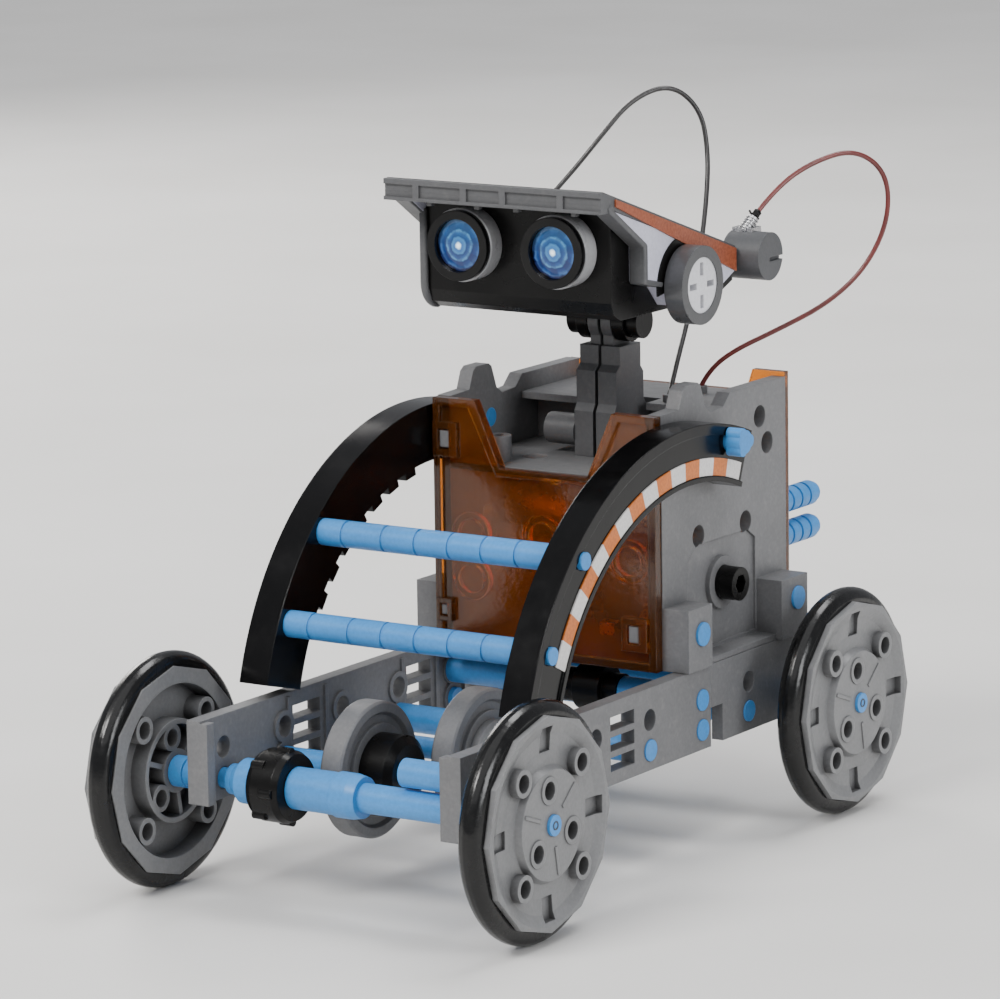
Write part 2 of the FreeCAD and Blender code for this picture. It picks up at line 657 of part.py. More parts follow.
def wheel_disc(tag, side, along):
    """A road wheel's disc: a valley round a plateau outside, posts and spokes in a dish inside."""
    centre = (along, "axle_height")
    section = [("%d * (%s)" % (side, across), radius) for across, radius in DISC_SECTION]
    pieces = [turned("disc_turned_" + tag, section, "0", *centre)]
    inside = span(side, "disc_inner", "disc_web + 0.2")
    tools = []
    circles = [("boss_circle", 45 + 90 * index, "disc_outer - 2.4", "0.3") for index in range(4)]
    circles += [("inner_circle", 100 + 120 * index, "disc_outer - 0.4", "0.25")
                for index in range(3)]
    for index, (circle, degrees, foot, proud) in enumerate(circles):
        turn = math.radians(degrees)
        y = "%s + %s * %.6f" % (along, circle, math.cos(turn))
        z = "axle_height + %s * %.6f" % (circle, math.sin(turn))
        mark = "%s_%d" % (tag, index)
        pieces.append(rod("disc_post_" + mark, "boss_radius", *inside, y, z))
        outside = span(side, foot, "disc_outer + " + proud)
        pieces.append(rod("disc_boss_" + mark, "boss_radius", *outside, y, z))
        tools.append(rod("disc_hole_" + mark, "lug_hole", *span(side, "30", "50"), y, z))
    for index in range(3):
        mark = "%s_%d" % (tag, index)
        degrees = 40 + 120 * index
        spoke = span(side, "disc_inner + 0.4", "disc_web + 0.2")
        pieces.append(radial_block("disc_spoke_" + mark, spoke, centre, ("hub_radius - 0.4", "9.2"),
                                   "0.5", degrees))
        rib = span(side, "disc_outer - 0.3", "disc_outer + 0.2")
        pieces.append(radial_block("disc_rib_" + mark, rib, centre,
                                   ("hub_radius", "plateau_radius - 0.5"), "0.35", degrees))
    for index in range(4):
        notch = span(side, "disc_outer - 2.3", "disc_outer + 1")
        tools.append(radial_block("disc_notch_%s_%d" % (tag, index), notch, centre,
                                  ("13.4", "18.0"), "1.7", 90 * index))
    groove = doc.addObject("Part::Torus", "disc_groove_" + tag)
    groove.setExpression("Radius1", cells("tyre_radius - tyre_cord"))
    groove.setExpression("Radius2", cells("tyre_cord"))
    tools.append(place(groove, "%d * tyre_plane" % side, *centre, ALONG_X))
    flats = doc.addObject("Part::Prism", "disc_flats_" + tag)
    flats.Polygon = 12
    flats.setExpression("Circumradius", cells("disc_flats"))
    flats.Height = 30
    place(flats, span(side, "30", "60")[0], *centre, ALONG_X)
    rimmed = doc.addObject("Part::Common", "disc_" + tag)
    rimmed.Base = cut("disc_cut_" + tag, fuse("disc_whole_" + tag, pieces), tools)
    rimmed.Tool = flats
    return rimmed


def wheels(end):
    """The pair of wheels of one axle: a node of two discs and a node of two tyres."""
    along = "-half_base" if end == "front" else "half_base"
    discs = []
    tyres = []
    for side in (1, -1):
        tag = end + "_" + side_name(side)
        discs.append(wheel_disc(tag, side, along))
        tyre = doc.addObject("Part::Torus", "tyre_" + tag)
        tyre.setExpression("Radius1", cells("tyre_radius - tyre_cord"))
        tyre.setExpression("Radius2", cells("tyre_cord - 0.01"))
        tyres.append(place(tyre, "%d * tyre_plane" % side, along, "axle_height", ALONG_X))
    group(end + "_discs", discs)
    group(end + "_tyres", tyres)


def front_axle():
    """The front axle with its outer sleeves, bushing, black drum and stepped tubes."""
    along, height = "-half_base", "axle_height"
    keep("front_axle", rod("front_axle", "axle_radius", "-axle_end", "axle_end", along, height))
    sleeves = []
    for side in (1, -1):
        tag = "front_sleeve_" + side_name(side)
        low, high = span(side, "rail_outer + 0.3", "disc_inner - 0.05")
        outer = rod(tag + "_outer", "2.6", low, high, along, height)
        low, high = span(side, "disc_inner - 3", "disc_inner - 0.05")
        collar = rod(tag + "_collar", "3.0", low, high, along, height)
        bore = rod(tag + "_bore", "axle_radius", "-50", "50", along, height)
        sleeves.append(cut(tag, fuse(tag + "_solid", [outer, collar]), [bore]))
    bushing = [("-25.4", "axle_radius"), ("-18.2", "axle_radius"), ("-18.2", "4.3"),
               ("-22.4", "4.3"), ("-24.2", "2.9"), ("-25.4", "2.9")]
    sleeves.append(turned("front_bushing", bushing, "0", along, height))
    group("front_sleeves", sleeves)
    drum = [("-18.1", "axle_radius"), ("-11", "axle_radius"), ("-11", "6.3"),
            ("-12.2", "6.9"), ("-16.9", "6.9"), ("-18.1", "6.3")]
    drum_body = turned("front_drum_core", drum, "0", along, height)
    prongs = []
    for index in range(8):
        turn = math.radians(45 * index)
        low = "-17.4" if index % 2 else "-14.6"
        prongs.append(rod("drum_prong_%d" % index, "0.9", low, "%s + 2.8" % low,
                          "%s + 6.6 * %.6f" % (along, math.cos(turn)),
                          "%s + 6.6 * %.6f" % (height, math.sin(turn))))
    keep("front_drum", fuse("front_drum", [drum_body] + prongs))
    tube = [("-10.9", "axle_radius"), ("25.4", "axle_radius"), ("25.4", "2.8"), ("4.4", "2.8"),
            ("4.4", "3.9"), ("2.4", "4.3"), ("-1.0", "4.3"), ("-1.0", "4.0"), ("-10.9", "4.0")]
    keep("front_tube", turned("front_tube", tube, "0", along, height))


def rear_axle():
    along, height = "half_base", "axle_height"
    keep("rear_axle", rod("rear_axle", "axle_radius", "-axle_end", "axle_end", along, height))
    sleeves = []
    places = (("-disc_inner + 0.05", "-beam_outer - 0.3"), ("-rail_inner + 0.3", "11.8"),
              ("16.2", "rail_inner - 0.3"), ("beam_outer + 0.3", "disc_inner - 0.05"))
    for index, (low, high) in enumerate(places):
        outer = rod("rear_sleeve_%d_outer" % index, "2.7", low, high, along, height)
        bore = rod("rear_sleeve_%d_bore" % index, "axle_radius", "-50", "50", along, height)
        sleeves.append(cut("rear_sleeve_%d" % index, outer, [bore]))
    group("rear_sleeves", sleeves)


def idler(name, along, start, hub_end):
    """A loose roller: a stepped grey rim with a black drum on its right-hand side."""
    bore = "peg_radius + 0.08"
    rim = [(start, bore), (start + 5.0, bore), (start + 5.0, "8.9"), (start + 4.2, "8.9"),
           (start + 4.2, "10.4"), (start + 5.0, "11.0"), (start + 5.0, "12.6"),
           (start + 4.6, "13.0"), (start + 0.6, "13.0"), (start, "12.4")]
    keep(name + "_rim", turned(name + "_rim", rim, "0", along, "row_low"))
    hub = [(start + 5.05, bore), (hub_end, bore), (hub_end, "5.6"), (hub_end - 1.2, "7.2"),
           (start + 5.05, "7.2")]
    keep(name + "_drum", turned(name + "_drum", hub, "0", along, "row_low"))


# ---- swinging arms --------------------------------------------------------------------------

def ring_sector(name, inner, outer, low, high, start, end):
    """A flat curved band about an axis along X, between two angles counted up from +Y."""
    pieces = []
    for tag, radius in (("_outer", outer), ("_inner", inner)):
        item = doc.addObject("Part::Cylinder", name + tag)
        item.setExpression("Radius", cells(radius))
        item.setExpression("Height", cells("(%s) - (%s)" % (high, low)))
        pieces.append(item)
    pieces[0].setExpression("Angle", cells("(%s) - (%s)" % (end, start)))
    turn = Rotation(Vector(1, 0, 0), value(start)).multiply(AXIS_TO_X)
    place(pieces[0], low, "arch_along", "arch_height", turn)
    place(pieces[1], low, "arch_along", "arch_height", ALONG_X)
    return cut(name, pieces[0], [pieces[1]])


def arch(side):
    """A curved arm with ratchet teeth along its inner edge and a raised outer edge."""
    name = "arch_" + side_name(side)
    low, high = span(side, "arch_near", "arch_far - 0.5")
    band = ring_sector(name + "_band", "arch_inner", "arch_outer", low, high, "arch_start",
                       "arch_end")
    low, high = span(side, "arch_far - 0.7", "arch_far")
    edge = ring_sector(name + "_edge", "arch_outer - 2.2", "arch_outer", low, high,
                       "arch_start", "arch_end")
    foot = ring_sector(name + "_foot", "arch_inner", "arch_inner + 1.0", low, high,
                       "arch_start", "arch_end")
    teeth = [radial_block("%s_tooth_%d" % (name, index), span(side, "arch_near", "arch_near + 3.2"),
                          ("arch_along", "arch_height"), ("arch_inner - 1.5", "arch_inner + 0.6"),
                          "1.7", 101 + 7.2 * index) for index in range(8)]
    tools = []
    bores = (("upper_tube_along", "upper_tube_height", "1.8"),
             ("lower_tube_along", "lower_tube_height", "1.8"),
             ("arm_pivot_along", "arm_pivot_height", "2.0"))
    for index, (along, height, radius) in enumerate(bores):
        low, high = span(side, "20", "40")
        tools.append(rod("%s_bore_%d" % (name, index), radius, low, high, along, height))
    return keep(name, cut(name, fuse(name + "_whole", [band, edge, foot] + teeth), tools))


def arm_trim(side):
    """The striped strip on the arch's outer face."""
    low, high = span(side, "arch_far - 0.5", "arch_far - 0.2")
    return ring_sector("stripe_" + side_name(side), "arch_inner + 1.1", "arch_inner + 4.5", low,
                       high, "arch_start + 1.5", "154")


def arm_tubes():
    """Two ribbed cross tubes with a pin through each."""
    tubes = []
    pins = []
    for level in ("upper", "lower"):
        along, height = level + "_tube_along", level + "_tube_height"
        section = [("-arch_near", "1.7"), ("arch_near", "1.7")]
        for index in range(7):
            right = 26.0 - index * 7.5
            if index == 6:
                right = -20.6
            section.append((right if index else "arch_near", "tube_radius"))
            if index < 6:
                left = 26.0 - (index + 1) * 7.5 if index < 5 else -20.6
                section.append((left + 0.5, "tube_radius"))
                section.append((left + 0.5, "tube_radius - 0.25"))
                section.append((left, "tube_radius - 0.25"))
        section.append(("-arch_near", "tube_radius"))
        tubes.append(turned("tube_" + level, section, "0", along, height))
        pin = rod("tube_pin_" + level + "_shank", "1.7", "-arch_far - 0.5", "arch_far + 0.5",
                  along, height)
        pins.append(pin)
    group("arm_tubes", tubes)
    group("tube_pins", pins)


def pivot_knobs():
    """The pins that the arms swing on, each with a lobed blue head."""
    knobs = []
    for side in (1, -1):
        tag = "knob_" + side_name(side)
        along, height = "arm_pivot_along", "arm_pivot_height"
        low, high = span(side, "plate_inner", "arch_far + 0.3")
        pieces = [rod(tag + "_pin", "1.9", low, high, along, height)]
        low, high = span(side, "arch_far + 0.2", "arch_far + 3.4")
        pieces.append(rod(tag + "_head", "2.3", low, high, along, height))
        for index in range(3):
            turn = math.radians(90 + 120 * index + 30)
            pieces.append(rod("%s_lobe_%d" % (tag, index), "1.25", low, high,
                              "%s + 1.75 * %.6f" % (along, math.cos(turn)),
                              "%s + 1.75 * %.6f" % (height, math.sin(turn))))
        knobs.append(fuse(tag, pieces))
    group("pivot_knobs", knobs)


# ---- neck and head --------------------------------------------------------------------------

def neck_half(side):
    """Half of the neck: a foot on the deck, a post, and half of the eye that the head tilts on."""
    name = "neck_" + side_name(side)
    outline = [("31.5", "deck_top"), ("44.6", "deck_top"), ("44.6", "79.5"), ("42.4", "82"),
               ("42.4", "87.4"), ("41.4", "88.6"), ("41.4", "93.3"), ("33.8", "93.3"),
               ("33.8", "89.6"), ("32.4", "88.4"), ("32.4", "82"), ("31.5", "80.5")]
    body = plate(name, side, "0.35", "4.6", [outline])
    stem = rectangle("34.6", "93", "40.4", "tilt_height")
    add_plate(body, name + "_stem", side, "0.35", "2.6", [stem])
    add_plate(body, name + "_eye", side, "0.35", "2.6", [],
              [("tilt_along", "tilt_height", "eye_lug")])
    cut_plate(body, name + "_bore", side, "0.3", "2.7", [],
              [("tilt_along", "tilt_height", "pin_radius + 0.06")])
    return body


def neck_plug():
    """The grey cross plug beside the neck's foot."""
    return rod("neck_plug", "3.1", "-11.5", "-4.6", "34", "76.2")


def head_clamp():
    """The fork under the head and the knobbed pin that it tilts on."""
    pieces = []
    tools = [rod("clamp_bore", "pin_radius", "-9", "9", "tilt_along", "tilt_height")]
    for side in (1, -1):
        tag = "clamp_jaw_" + side_name(side)
        low, high = span(side, "2.85", "5.4")
        pieces.append(rod(tag + "_round", "eye_lug", low, high, "tilt_along", "tilt_height"))
        pieces.append(block(tag + "_block", (low, high), ("33.7", "41.3"),
                            ("tilt_height", "housing_bottom - 0.4")))
    pieces.append(block("clamp_plate", ("-7", "7"), ("32.5", "42.5"),
                        ("housing_bottom - 0.9", "housing_bottom")))
    keep("head_clamp", cut("head_clamp", fuse("clamp_whole", pieces), tools))
    parts = [rod("tilt_pin_shank", "pin_radius", "-5.5", "5.5", "tilt_along", "tilt_height")]
    for side in (1, -1):
        low, high = span(side, "5.4", "8.0")
        parts.append(rod("tilt_knob_" + side_name(side), "3.2", low, high, "tilt_along",
                         "tilt_height"))
    keep("tilt_pin", fuse("tilt_pin", parts))


def panel_top(along, drop=0.0):
    """The height of the sloping panel's top at a place along the head, less a drop."""
    return "panel_front_height - (%s - panel_front) * tan(panel_slope * 1deg) - %s" % (along, drop)


def sloped_block(name, x, along, across):
    """A box lying on the panel's slope: along it from its front edge, and across its depth."""
    item = doc.addObject("Part::Box", name)
    item.setExpression("Length", cells("(%s) - (%s)" % (x[1], x[0])))
    item.setExpression("Width", cells("(%s) - (%s)" % (along[1], along[0])))
    item.setExpression("Height", cells("(%s) - (%s)" % (across[1], across[0])))
    slope = value("panel_slope")
    turn = Rotation(Vector(1, 0, 0), -slope)
    offset = turn.multVec(Vector(value(x[0]), value(along[0]), value(across[0])))
    item.Placement = Placement(Vector(offset.x, offset.y + value("panel_front"),
                                      offset.z + value("panel_front_height")), turn)
    return item


def head_frame():
    """The grey frame round the solar cell, with the ribbed lip over the eyes."""
    half = "panel_half"
    across = ("-(%s)" % half, half)
    slab = sloped_block("frame_slab", across, ("0", "panel_length"), ("-panel_thick", "0"))
    lip = block("frame_lip", across, ("panel_front - 0.8", "panel_front + 1.6"),
                ("125.2", "128.6"))
    pieces = [slab, lip]
    for index, x in enumerate((-17.0, -6.2, 2.6, 15.5)):
        pieces.append(block("lip_rib_%d" % index, (x - 0.7, x + 0.7),
                            ("panel_front - 1.3", "panel_front"), ("125.4", "128.4")))
        pieces.append(block("lip_nub_%d" % index, (x + 1.8, x + 2.9),
                            ("panel_front - 0.2", "panel_front + 1.0"), ("124.4", "125.3")))
    pieces.append(block("lip_bead_top", across, ("panel_front - 1.3", "panel_front"),
                        ("128.3", "129.3")))
    pieces.append(block("lip_bead_low", across, ("panel_front - 1.3", "panel_front"),
                        ("125.2", "125.9")))
    tools = [sloped_block("frame_recess", ("-panel_half + 2.2", "panel_half - 2.2"),
                          ("3.2", "panel_length - 3.2"), ("-1.3", "1"))]
    for side in (1, -1):
        low, high = span(side, "housing_half", "panel_half + 1")
        tools.append(block("frame_corner_" + side_name(side), (low, high), ("44.9", "56"),
                           ("100", "125")))
    whole = cut("head_frame", fuse("frame_whole", pieces), tools)
    keep("head_frame", whole)
    cell = sloped_block("solar_cell", ("-panel_half + 2.25", "panel_half - 2.25"),
                        ("3.25", "panel_length - 3.25"), ("-1.3", "-0.5"))
    keep("solar_cell", cut("solar_cell", cell, [tools[1], tools[2]]))


def head_housing():
    """The black housing: face, rounded chin and the stepped rear."""
    body = new_body("face_housing")
    drop = 2.85
    outline = [("5", panel_top("5", drop)), ("5", "107"), ("5.9", "104.6"),
               ("8.2", "housing_bottom"), ("43.6", "housing_bottom"), ("49.6", "105.6"),
               ("49.0", panel_top("49", drop))]
    sketch = sketch_on(body, "housing_outline", "YZ_Plane", "-housing_half", [outline])
    pad(body, sketch, "2 * housing_half")
    barrels = sketch_on(body, "housing_eye_seats", "XZ_Plane", "-4.9", [],
                        [("lens_side", "lens_height", "4.2"), ("-lens_side", "lens_height", "4.2")])
    pocket(body, barrels, "2.6")
    return keep("face_housing", body)


def side_panel(side):
    """The light side plate of the head."""
    name = "side_panel_" + side_name(side)
    drop = 2.85
    outline = [("-1.2", panel_top("-1.2", drop)), ("-0.8", "125.3"), ("11.5", "117.2"),
               ("11.5", "110.4"), ("17.4", "109.0"), ("21.5", "104.6"), ("36", "104.6"),
               ("44.8", "108.4"), ("44.8", panel_top("44.8", drop))]
    body = plate(name, side, "housing_half", "panel_half", [outline])
    cut_plate(body, name + "_bore", side, "housing_half - 0.1", "panel_half + 0.1", [],
              [("ear_along", "ear_height", "1.28")])
    return body


def head_stripe(side):
    """The coloured strip along the top of a side panel, thin in front and deep behind."""
    stripe = [("1", panel_top("1", 0.5)), ("1", panel_top("1", 1.9)),
              ("44.7", panel_top("44.7", 5.0)), ("44.7", panel_top("44.7", 0.5))]
    return plate("head_stripe_" + side_name(side), side, "panel_half", "panel_half + 0.4",
                 [stripe])


def eye(side):
    """One eye: a light barrel, a black bezel and a domed blue lens."""
    tag = side_name(side)
    x = "%d * lens_side" % side
    barrel = lengthwise("barrel_solid_" + tag, "barrel_radius", x, "1.4", "5", "lens_height")
    stem = lengthwise("barrel_stem_" + tag, "4.2", x, "4.9", "7.4", "lens_height")
    bore = lengthwise("barrel_bore_" + tag, "5.9", x, "0", "4.4", "lens_height")
    whole = cut("eye_barrel_" + tag, fuse("barrel_" + tag, [barrel, stem]), [bore])
    outer = lengthwise("bezel_outer_" + tag, "6.8", x, "0", "1.4", "lens_height")
    rear = lengthwise("bezel_rear_" + tag, "5.85", x, "1.3", "2.6", "lens_height")
    inner = lengthwise("bezel_inner_" + tag, "5.1", x, "-1", "3", "lens_height")
    bezel = cut("eye_bezel_" + tag, fuse("bezel_" + tag, [outer, rear]), [inner])
    seat = lengthwise("lens_seat_" + tag, "5.05", x, "1.3", "3.4", "lens_height")
    ball = doc.addObject("Part::Sphere", "lens_ball_" + tag)
    ball.Radius = 14
    place(ball, x, "14.6", "lens_height")
    column = lengthwise("lens_column_" + tag, "5.05", x, "0", "3.4", "lens_height")
    dome = doc.addObject("Part::Common", "lens_dome_" + tag)
    dome.Base = ball
    dome.Tool = column
    return whole, bezel, fuse("eye_lens_" + tag, [seat, dome])


def eyes():
    """Both eyes: a node each of barrels, bezels and lenses."""
    barrels, bezels, lenses = zip(*[eye(side) for side in (1, -1)])
    group("eye_barrels", list(barrels))
    group("eye_bezels", list(bezels))
    group("eye_lenses", list(lenses))


def ear_wheel(side):
    """A small wheel on the side of the head: grey tyre on a white slotted hub."""
    tag = side_name(side)
    low, high = span(side, "panel_half + 0.6", "panel_half + 4.6")
    outer = rod("ear_tyre_outer_" + tag, "ear_radius", low, high, "ear_along", "ear_height")
    bore = rod("ear_tyre_bore_" + tag, "ear_hub", "-40", "40", "ear_along", "ear_height")
    tyre = cut("ear_tyre_" + tag, outer, [bore])
    keep("ear_tyre_" + tag, tyre)
    low, high = span(side, "panel_half + 0.9", "panel_half + 4.4")
    hub = rod("ear_hub_solid_" + tag, "ear_hub", low, high, "ear_along", "ear_height")
    low_pin, high_pin = span(side, "housing_half + 0.1", "panel_half + 1")
    pin = rod("ear_pin_" + tag, "1.2", low_pin, high_pin, "ear_along", "ear_height")
    slots = [radial_block("ear_slot_%s_%d" % (tag, index), span(side, "panel_half + 2", "35"),
                          ("ear_along", "ear_height"), ("1.9", "4.4"), "0.6", 90 * index)
             for index in range(4)]
    keep("ear_hub_" + tag, cut("ear_hub_" + tag, fuse("ear_whole_" + tag, [hub, pin]), slots))


# The routes of the two wires, from the head's terminals to the collars on the gearbox roof.
BLACK_ROUTE = ((-24.0, 52.0, 117.8), (-20.5, 56.3, 123.2), (-16.2, 61.0, 130.5),
               (-12.8, 67.0, 137.3), (-8.2, 74.5, 140.0), (-4.3, 79.8, 134.5),
               (-2.2, 79.2, 125.5), (0.2, 74.0, 115.5), (3.0, 66.5, 106.0),
               (5.8, 57.5, 95.5), (8.2, 49.0, 88.0), (10.0, 43.2, 82.5))
RED_ROUTE = ((24.4, 51.8, 117.8), (26.5, 56.2, 122.9), (30.5, 63.5, 127.5),
             (35.5, 72.0, 129.6), (39.2, 78.3, 124.5), (39.2, 79.2, 115.0),
             (35.8, 76.0, 105.5), (30.0, 70.8, 98.6), (22.5, 64.3, 93.8),
             (15.0, 58.6, 89.6), (11.2, 55.8, 85.6), (10.0, 55.0, 82.5))

TERMINAL_RADIUS = 1.0
TERMINAL_LENGTH = 3.4


def heading(route):
    """The way a wire sets off from its first point."""
    return tuple((Vector(*route[1]) - Vector(*route[0])).normalize())


TERMINALS = {1: (RED_ROUTE[0], heading(RED_ROUTE)), -1: (BLACK_ROUTE[0], heading(BLACK_ROUTE))}


def head_rear():
    """The round caps at the rear corners and the spring terminals that the wires start from."""
    caps = []
    terminals = []
    for side in (1, -1):
        tag = side_name(side)
        low, high = span(side, "housing_half + 0.05", "29.2")
        cap = rod("drum_cap_" + tag, "drum_radius", low, high, "drum_along", "drum_height")
        slit = block("drum_slit_" + tag, span(side, "28.4", "30"),
                     ("drum_along - 0.4", "drum_along + 6"),
                     ("drum_height - 1.0", "drum_height - 0.2"))
        caps.append(cut("drum_" + tag, cap, [slit]))
        foot = block("terminal_foot_" + tag, span(side, "21.2", "25.6"), ("49.0", "52.6"),
                     ("drum_height", "drum_height + 5.4"))
        seat = rod("terminal_seat_" + tag, "drum_radius", "-40", "40", "drum_along",
                   "drum_height")
        tip, direction = TERMINALS[side]
        post = doc.addObject("Part::Cylinder", "terminal_post_" + tag)
        post.Radius = TERMINAL_RADIUS
        post.Height = TERMINAL_LENGTH
        base = Vector(*tip) - Vector(*direction) * TERMINAL_LENGTH
        post.Placement = Placement(base, Rotation(Vector(0, 0, 1), Vector(*direction)))
        terminals.append(cut("terminal_" + tag, fuse("terminal_whole_" + tag, [foot, post]),
                             [seat]))
    group("head_drums", caps)
    group("terminals", terminals)


# ---- wires ----------------------------------------------------------------------------------

def wire_path(points):
    """Straight runs joined by tangent arcs as large as the runs allow."""
    points = [Vector(*point) for point in points]
    edges = []
    radii = []
    last = points[0]
    for before, corner, after in zip(points, points[1:], points[2:]):
        into = (corner - before).normalize()
        out = (after - corner).normalize()
        turn = into.getAngle(out)
        run = min((corner - before).Length, (after - corner).Length)
        tangent = 0.45 * run
        radii.append(tangent / math.tan(turn / 2))
        start = corner - into * tangent
        end = corner + out * tangent
        bisector = (out - into).normalize()
        middle = corner + bisector * (radii[-1] / math.cos(turn / 2) - radii[-1])
        edges.append(Part.LineSegment(last, start).toShape())
        edges.append(Part.Arc(start, middle, end).toShape())
        last = end
    edges.append(Part.LineSegment(last, points[-1]).toShape())
    return Part.Wire(edges), radii


def wire(name, route):
    path, radii = wire_path(route)
    radius = value("wire_radius")
    start = Vector(*route[0])
    normal = Vector(*route[1]) - start
    ring = Part.Wire([Part.Circle(start, normal, radius).toShape()])
    tube = path.makePipeShell([ring], True, False)
    expected = math.pi * radius ** 2 * path.Length
    print("%s: length %.1f, radii %.1f to %.1f, volume %.4f of section times length" % (
        name, path.Length, min(radii), max(radii), tube.Volume / expected))
    item = doc.addObject("Part::Feature", name)
    item.Shape = tube
    item.Placement = Placement()
    return keep(name, item)


# ---- the whole robot ------------------------------------------------------------------------

for side in (1, -1):
    side_rail(side)
    gearbox_side(side)
    ear_wheel(side)
    arch(side)
group("rear_beams", [rear_beam(side) for side in (1, -1)])
group("arch_stripes", [arm_trim(side) for side in (1, -1)])
group("neck", [neck_half(side) for side in (1, -1)] + [neck_plug()])
group("side_panels", [side_panel(side) for side in (1, -1)])
group("head_stripes", [head_stripe(side) for side in (1, -1)])
group("blue_pegs", [front_peg()] + rail_pegs() + lug_pins())
cross_rods()
rod_drum()
front_cover()
rear_cover()
tail_pegs()
gearbox_inside()
gear_train()
motor()
wheels("front")
wheels("rear")
front_axle()
rear_axle()
idler("roller_front", FRONT_COLUMNS[1], -10.4, 1.2)
idler("roller_rear", FRONT_COLUMNS[2], 1.6, 9.4)
arm_tubes()
pivot_knobs()
head_clamp()
head_frame()
head_housing()
eyes()
head_rear()
wire("wire_black", BLACK_ROUTE)
wire("wire_red", RED_ROUTE)

doc.recompute()
for item in doc.Objects:
    if "Invalid" in item.State or "Error" in item.State:
        raise RuntimeError("%s did not recompute: %s" % (item.Name, item.State))
for name, item in NODES.items():
    if item.Shape.isNull() or not item.Shape.isValid() or item.Shape.Volume <= 0:
        raise RuntimeError(name + " has no valid shape")

os.makedirs("parts", exist_ok=True)
for name, item in sorted(NODES.items()):
    item.Shape.exportStep("parts/%s.step" % name)
print("%d nodes written" % len(NODES))
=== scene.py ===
import math

import bmesh
import bpy
from mathutils import Matrix, Vector


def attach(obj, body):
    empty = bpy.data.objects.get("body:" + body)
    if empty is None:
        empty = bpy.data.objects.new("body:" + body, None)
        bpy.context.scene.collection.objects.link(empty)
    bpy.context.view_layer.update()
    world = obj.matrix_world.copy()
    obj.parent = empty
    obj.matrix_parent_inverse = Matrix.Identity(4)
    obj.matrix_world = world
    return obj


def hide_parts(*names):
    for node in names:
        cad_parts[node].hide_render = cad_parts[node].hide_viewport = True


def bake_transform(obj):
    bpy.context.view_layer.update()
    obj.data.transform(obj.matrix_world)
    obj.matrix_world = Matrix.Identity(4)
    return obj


# Looks for the four-wheeled solar robot. Lengths here are millimetres turned into metres by MM.

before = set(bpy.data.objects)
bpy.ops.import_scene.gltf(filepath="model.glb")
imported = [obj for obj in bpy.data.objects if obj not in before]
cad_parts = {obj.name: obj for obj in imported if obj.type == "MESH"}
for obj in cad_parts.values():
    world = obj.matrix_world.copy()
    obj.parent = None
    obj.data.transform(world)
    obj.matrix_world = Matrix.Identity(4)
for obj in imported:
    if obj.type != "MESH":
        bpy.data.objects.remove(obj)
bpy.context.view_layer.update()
MM = 0.001

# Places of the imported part, in millimetres, that the finishes and pieces are laid out on.
ARM_CENTRE = (15.0, 22.0)
STRIP_START = 70.2
STRIP_BLOCK = 5.59
EYE_ACROSS = 10.65
EYE_HEIGHT = 116.6
LENS_RADIUS = 5.05
EAR_CENTRE = (25.0, 108.4)
AXLES = {"front_wheels": -56.0, "rear_wheels": 56.0}
AXLE_HEIGHT = 22.5
AXLE_END = 46.02
DIMPLE_RADIUS = 0.72
WIRE_RADIUS = 0.5
TUBE_TIP = 0.6


# ---- camera ---------------------------------------------------------------------------------

CAMERA_AZIMUTH = math.radians(33.3)
CAMERA_ELEVATION = math.radians(10.9)
CAMERA_ROLL = math.radians(0.9)
CAMERA_DISTANCE = 1.05
CAMERA_TARGET = Vector((-0.001, -0.001, 0.0685))


def add_camera():
    """The camera, at the place and height that the robot is seen from."""
    camera = bpy.data.objects.new("camera", bpy.data.cameras.new("camera"))
    bpy.context.scene.collection.objects.link(camera)
    toward = Vector((math.sin(CAMERA_AZIMUTH) * math.cos(CAMERA_ELEVATION),
                     -math.cos(CAMERA_AZIMUTH) * math.cos(CAMERA_ELEVATION),
                     math.sin(CAMERA_ELEVATION)))
    camera.location = CAMERA_TARGET + toward * CAMERA_DISTANCE
    turn = toward.to_track_quat("Z", "Y").to_matrix() @ Matrix.Rotation(-CAMERA_ROLL, 3, "Z")
    camera.rotation_euler = turn.to_euler()
    camera.data.lens = 198
    camera.data.sensor_width = 36
    camera.data.clip_start = 0.01
    camera.data.clip_end = 60
    bpy.context.scene.camera = camera


# ---- materials ------------------------------------------------------------------------------

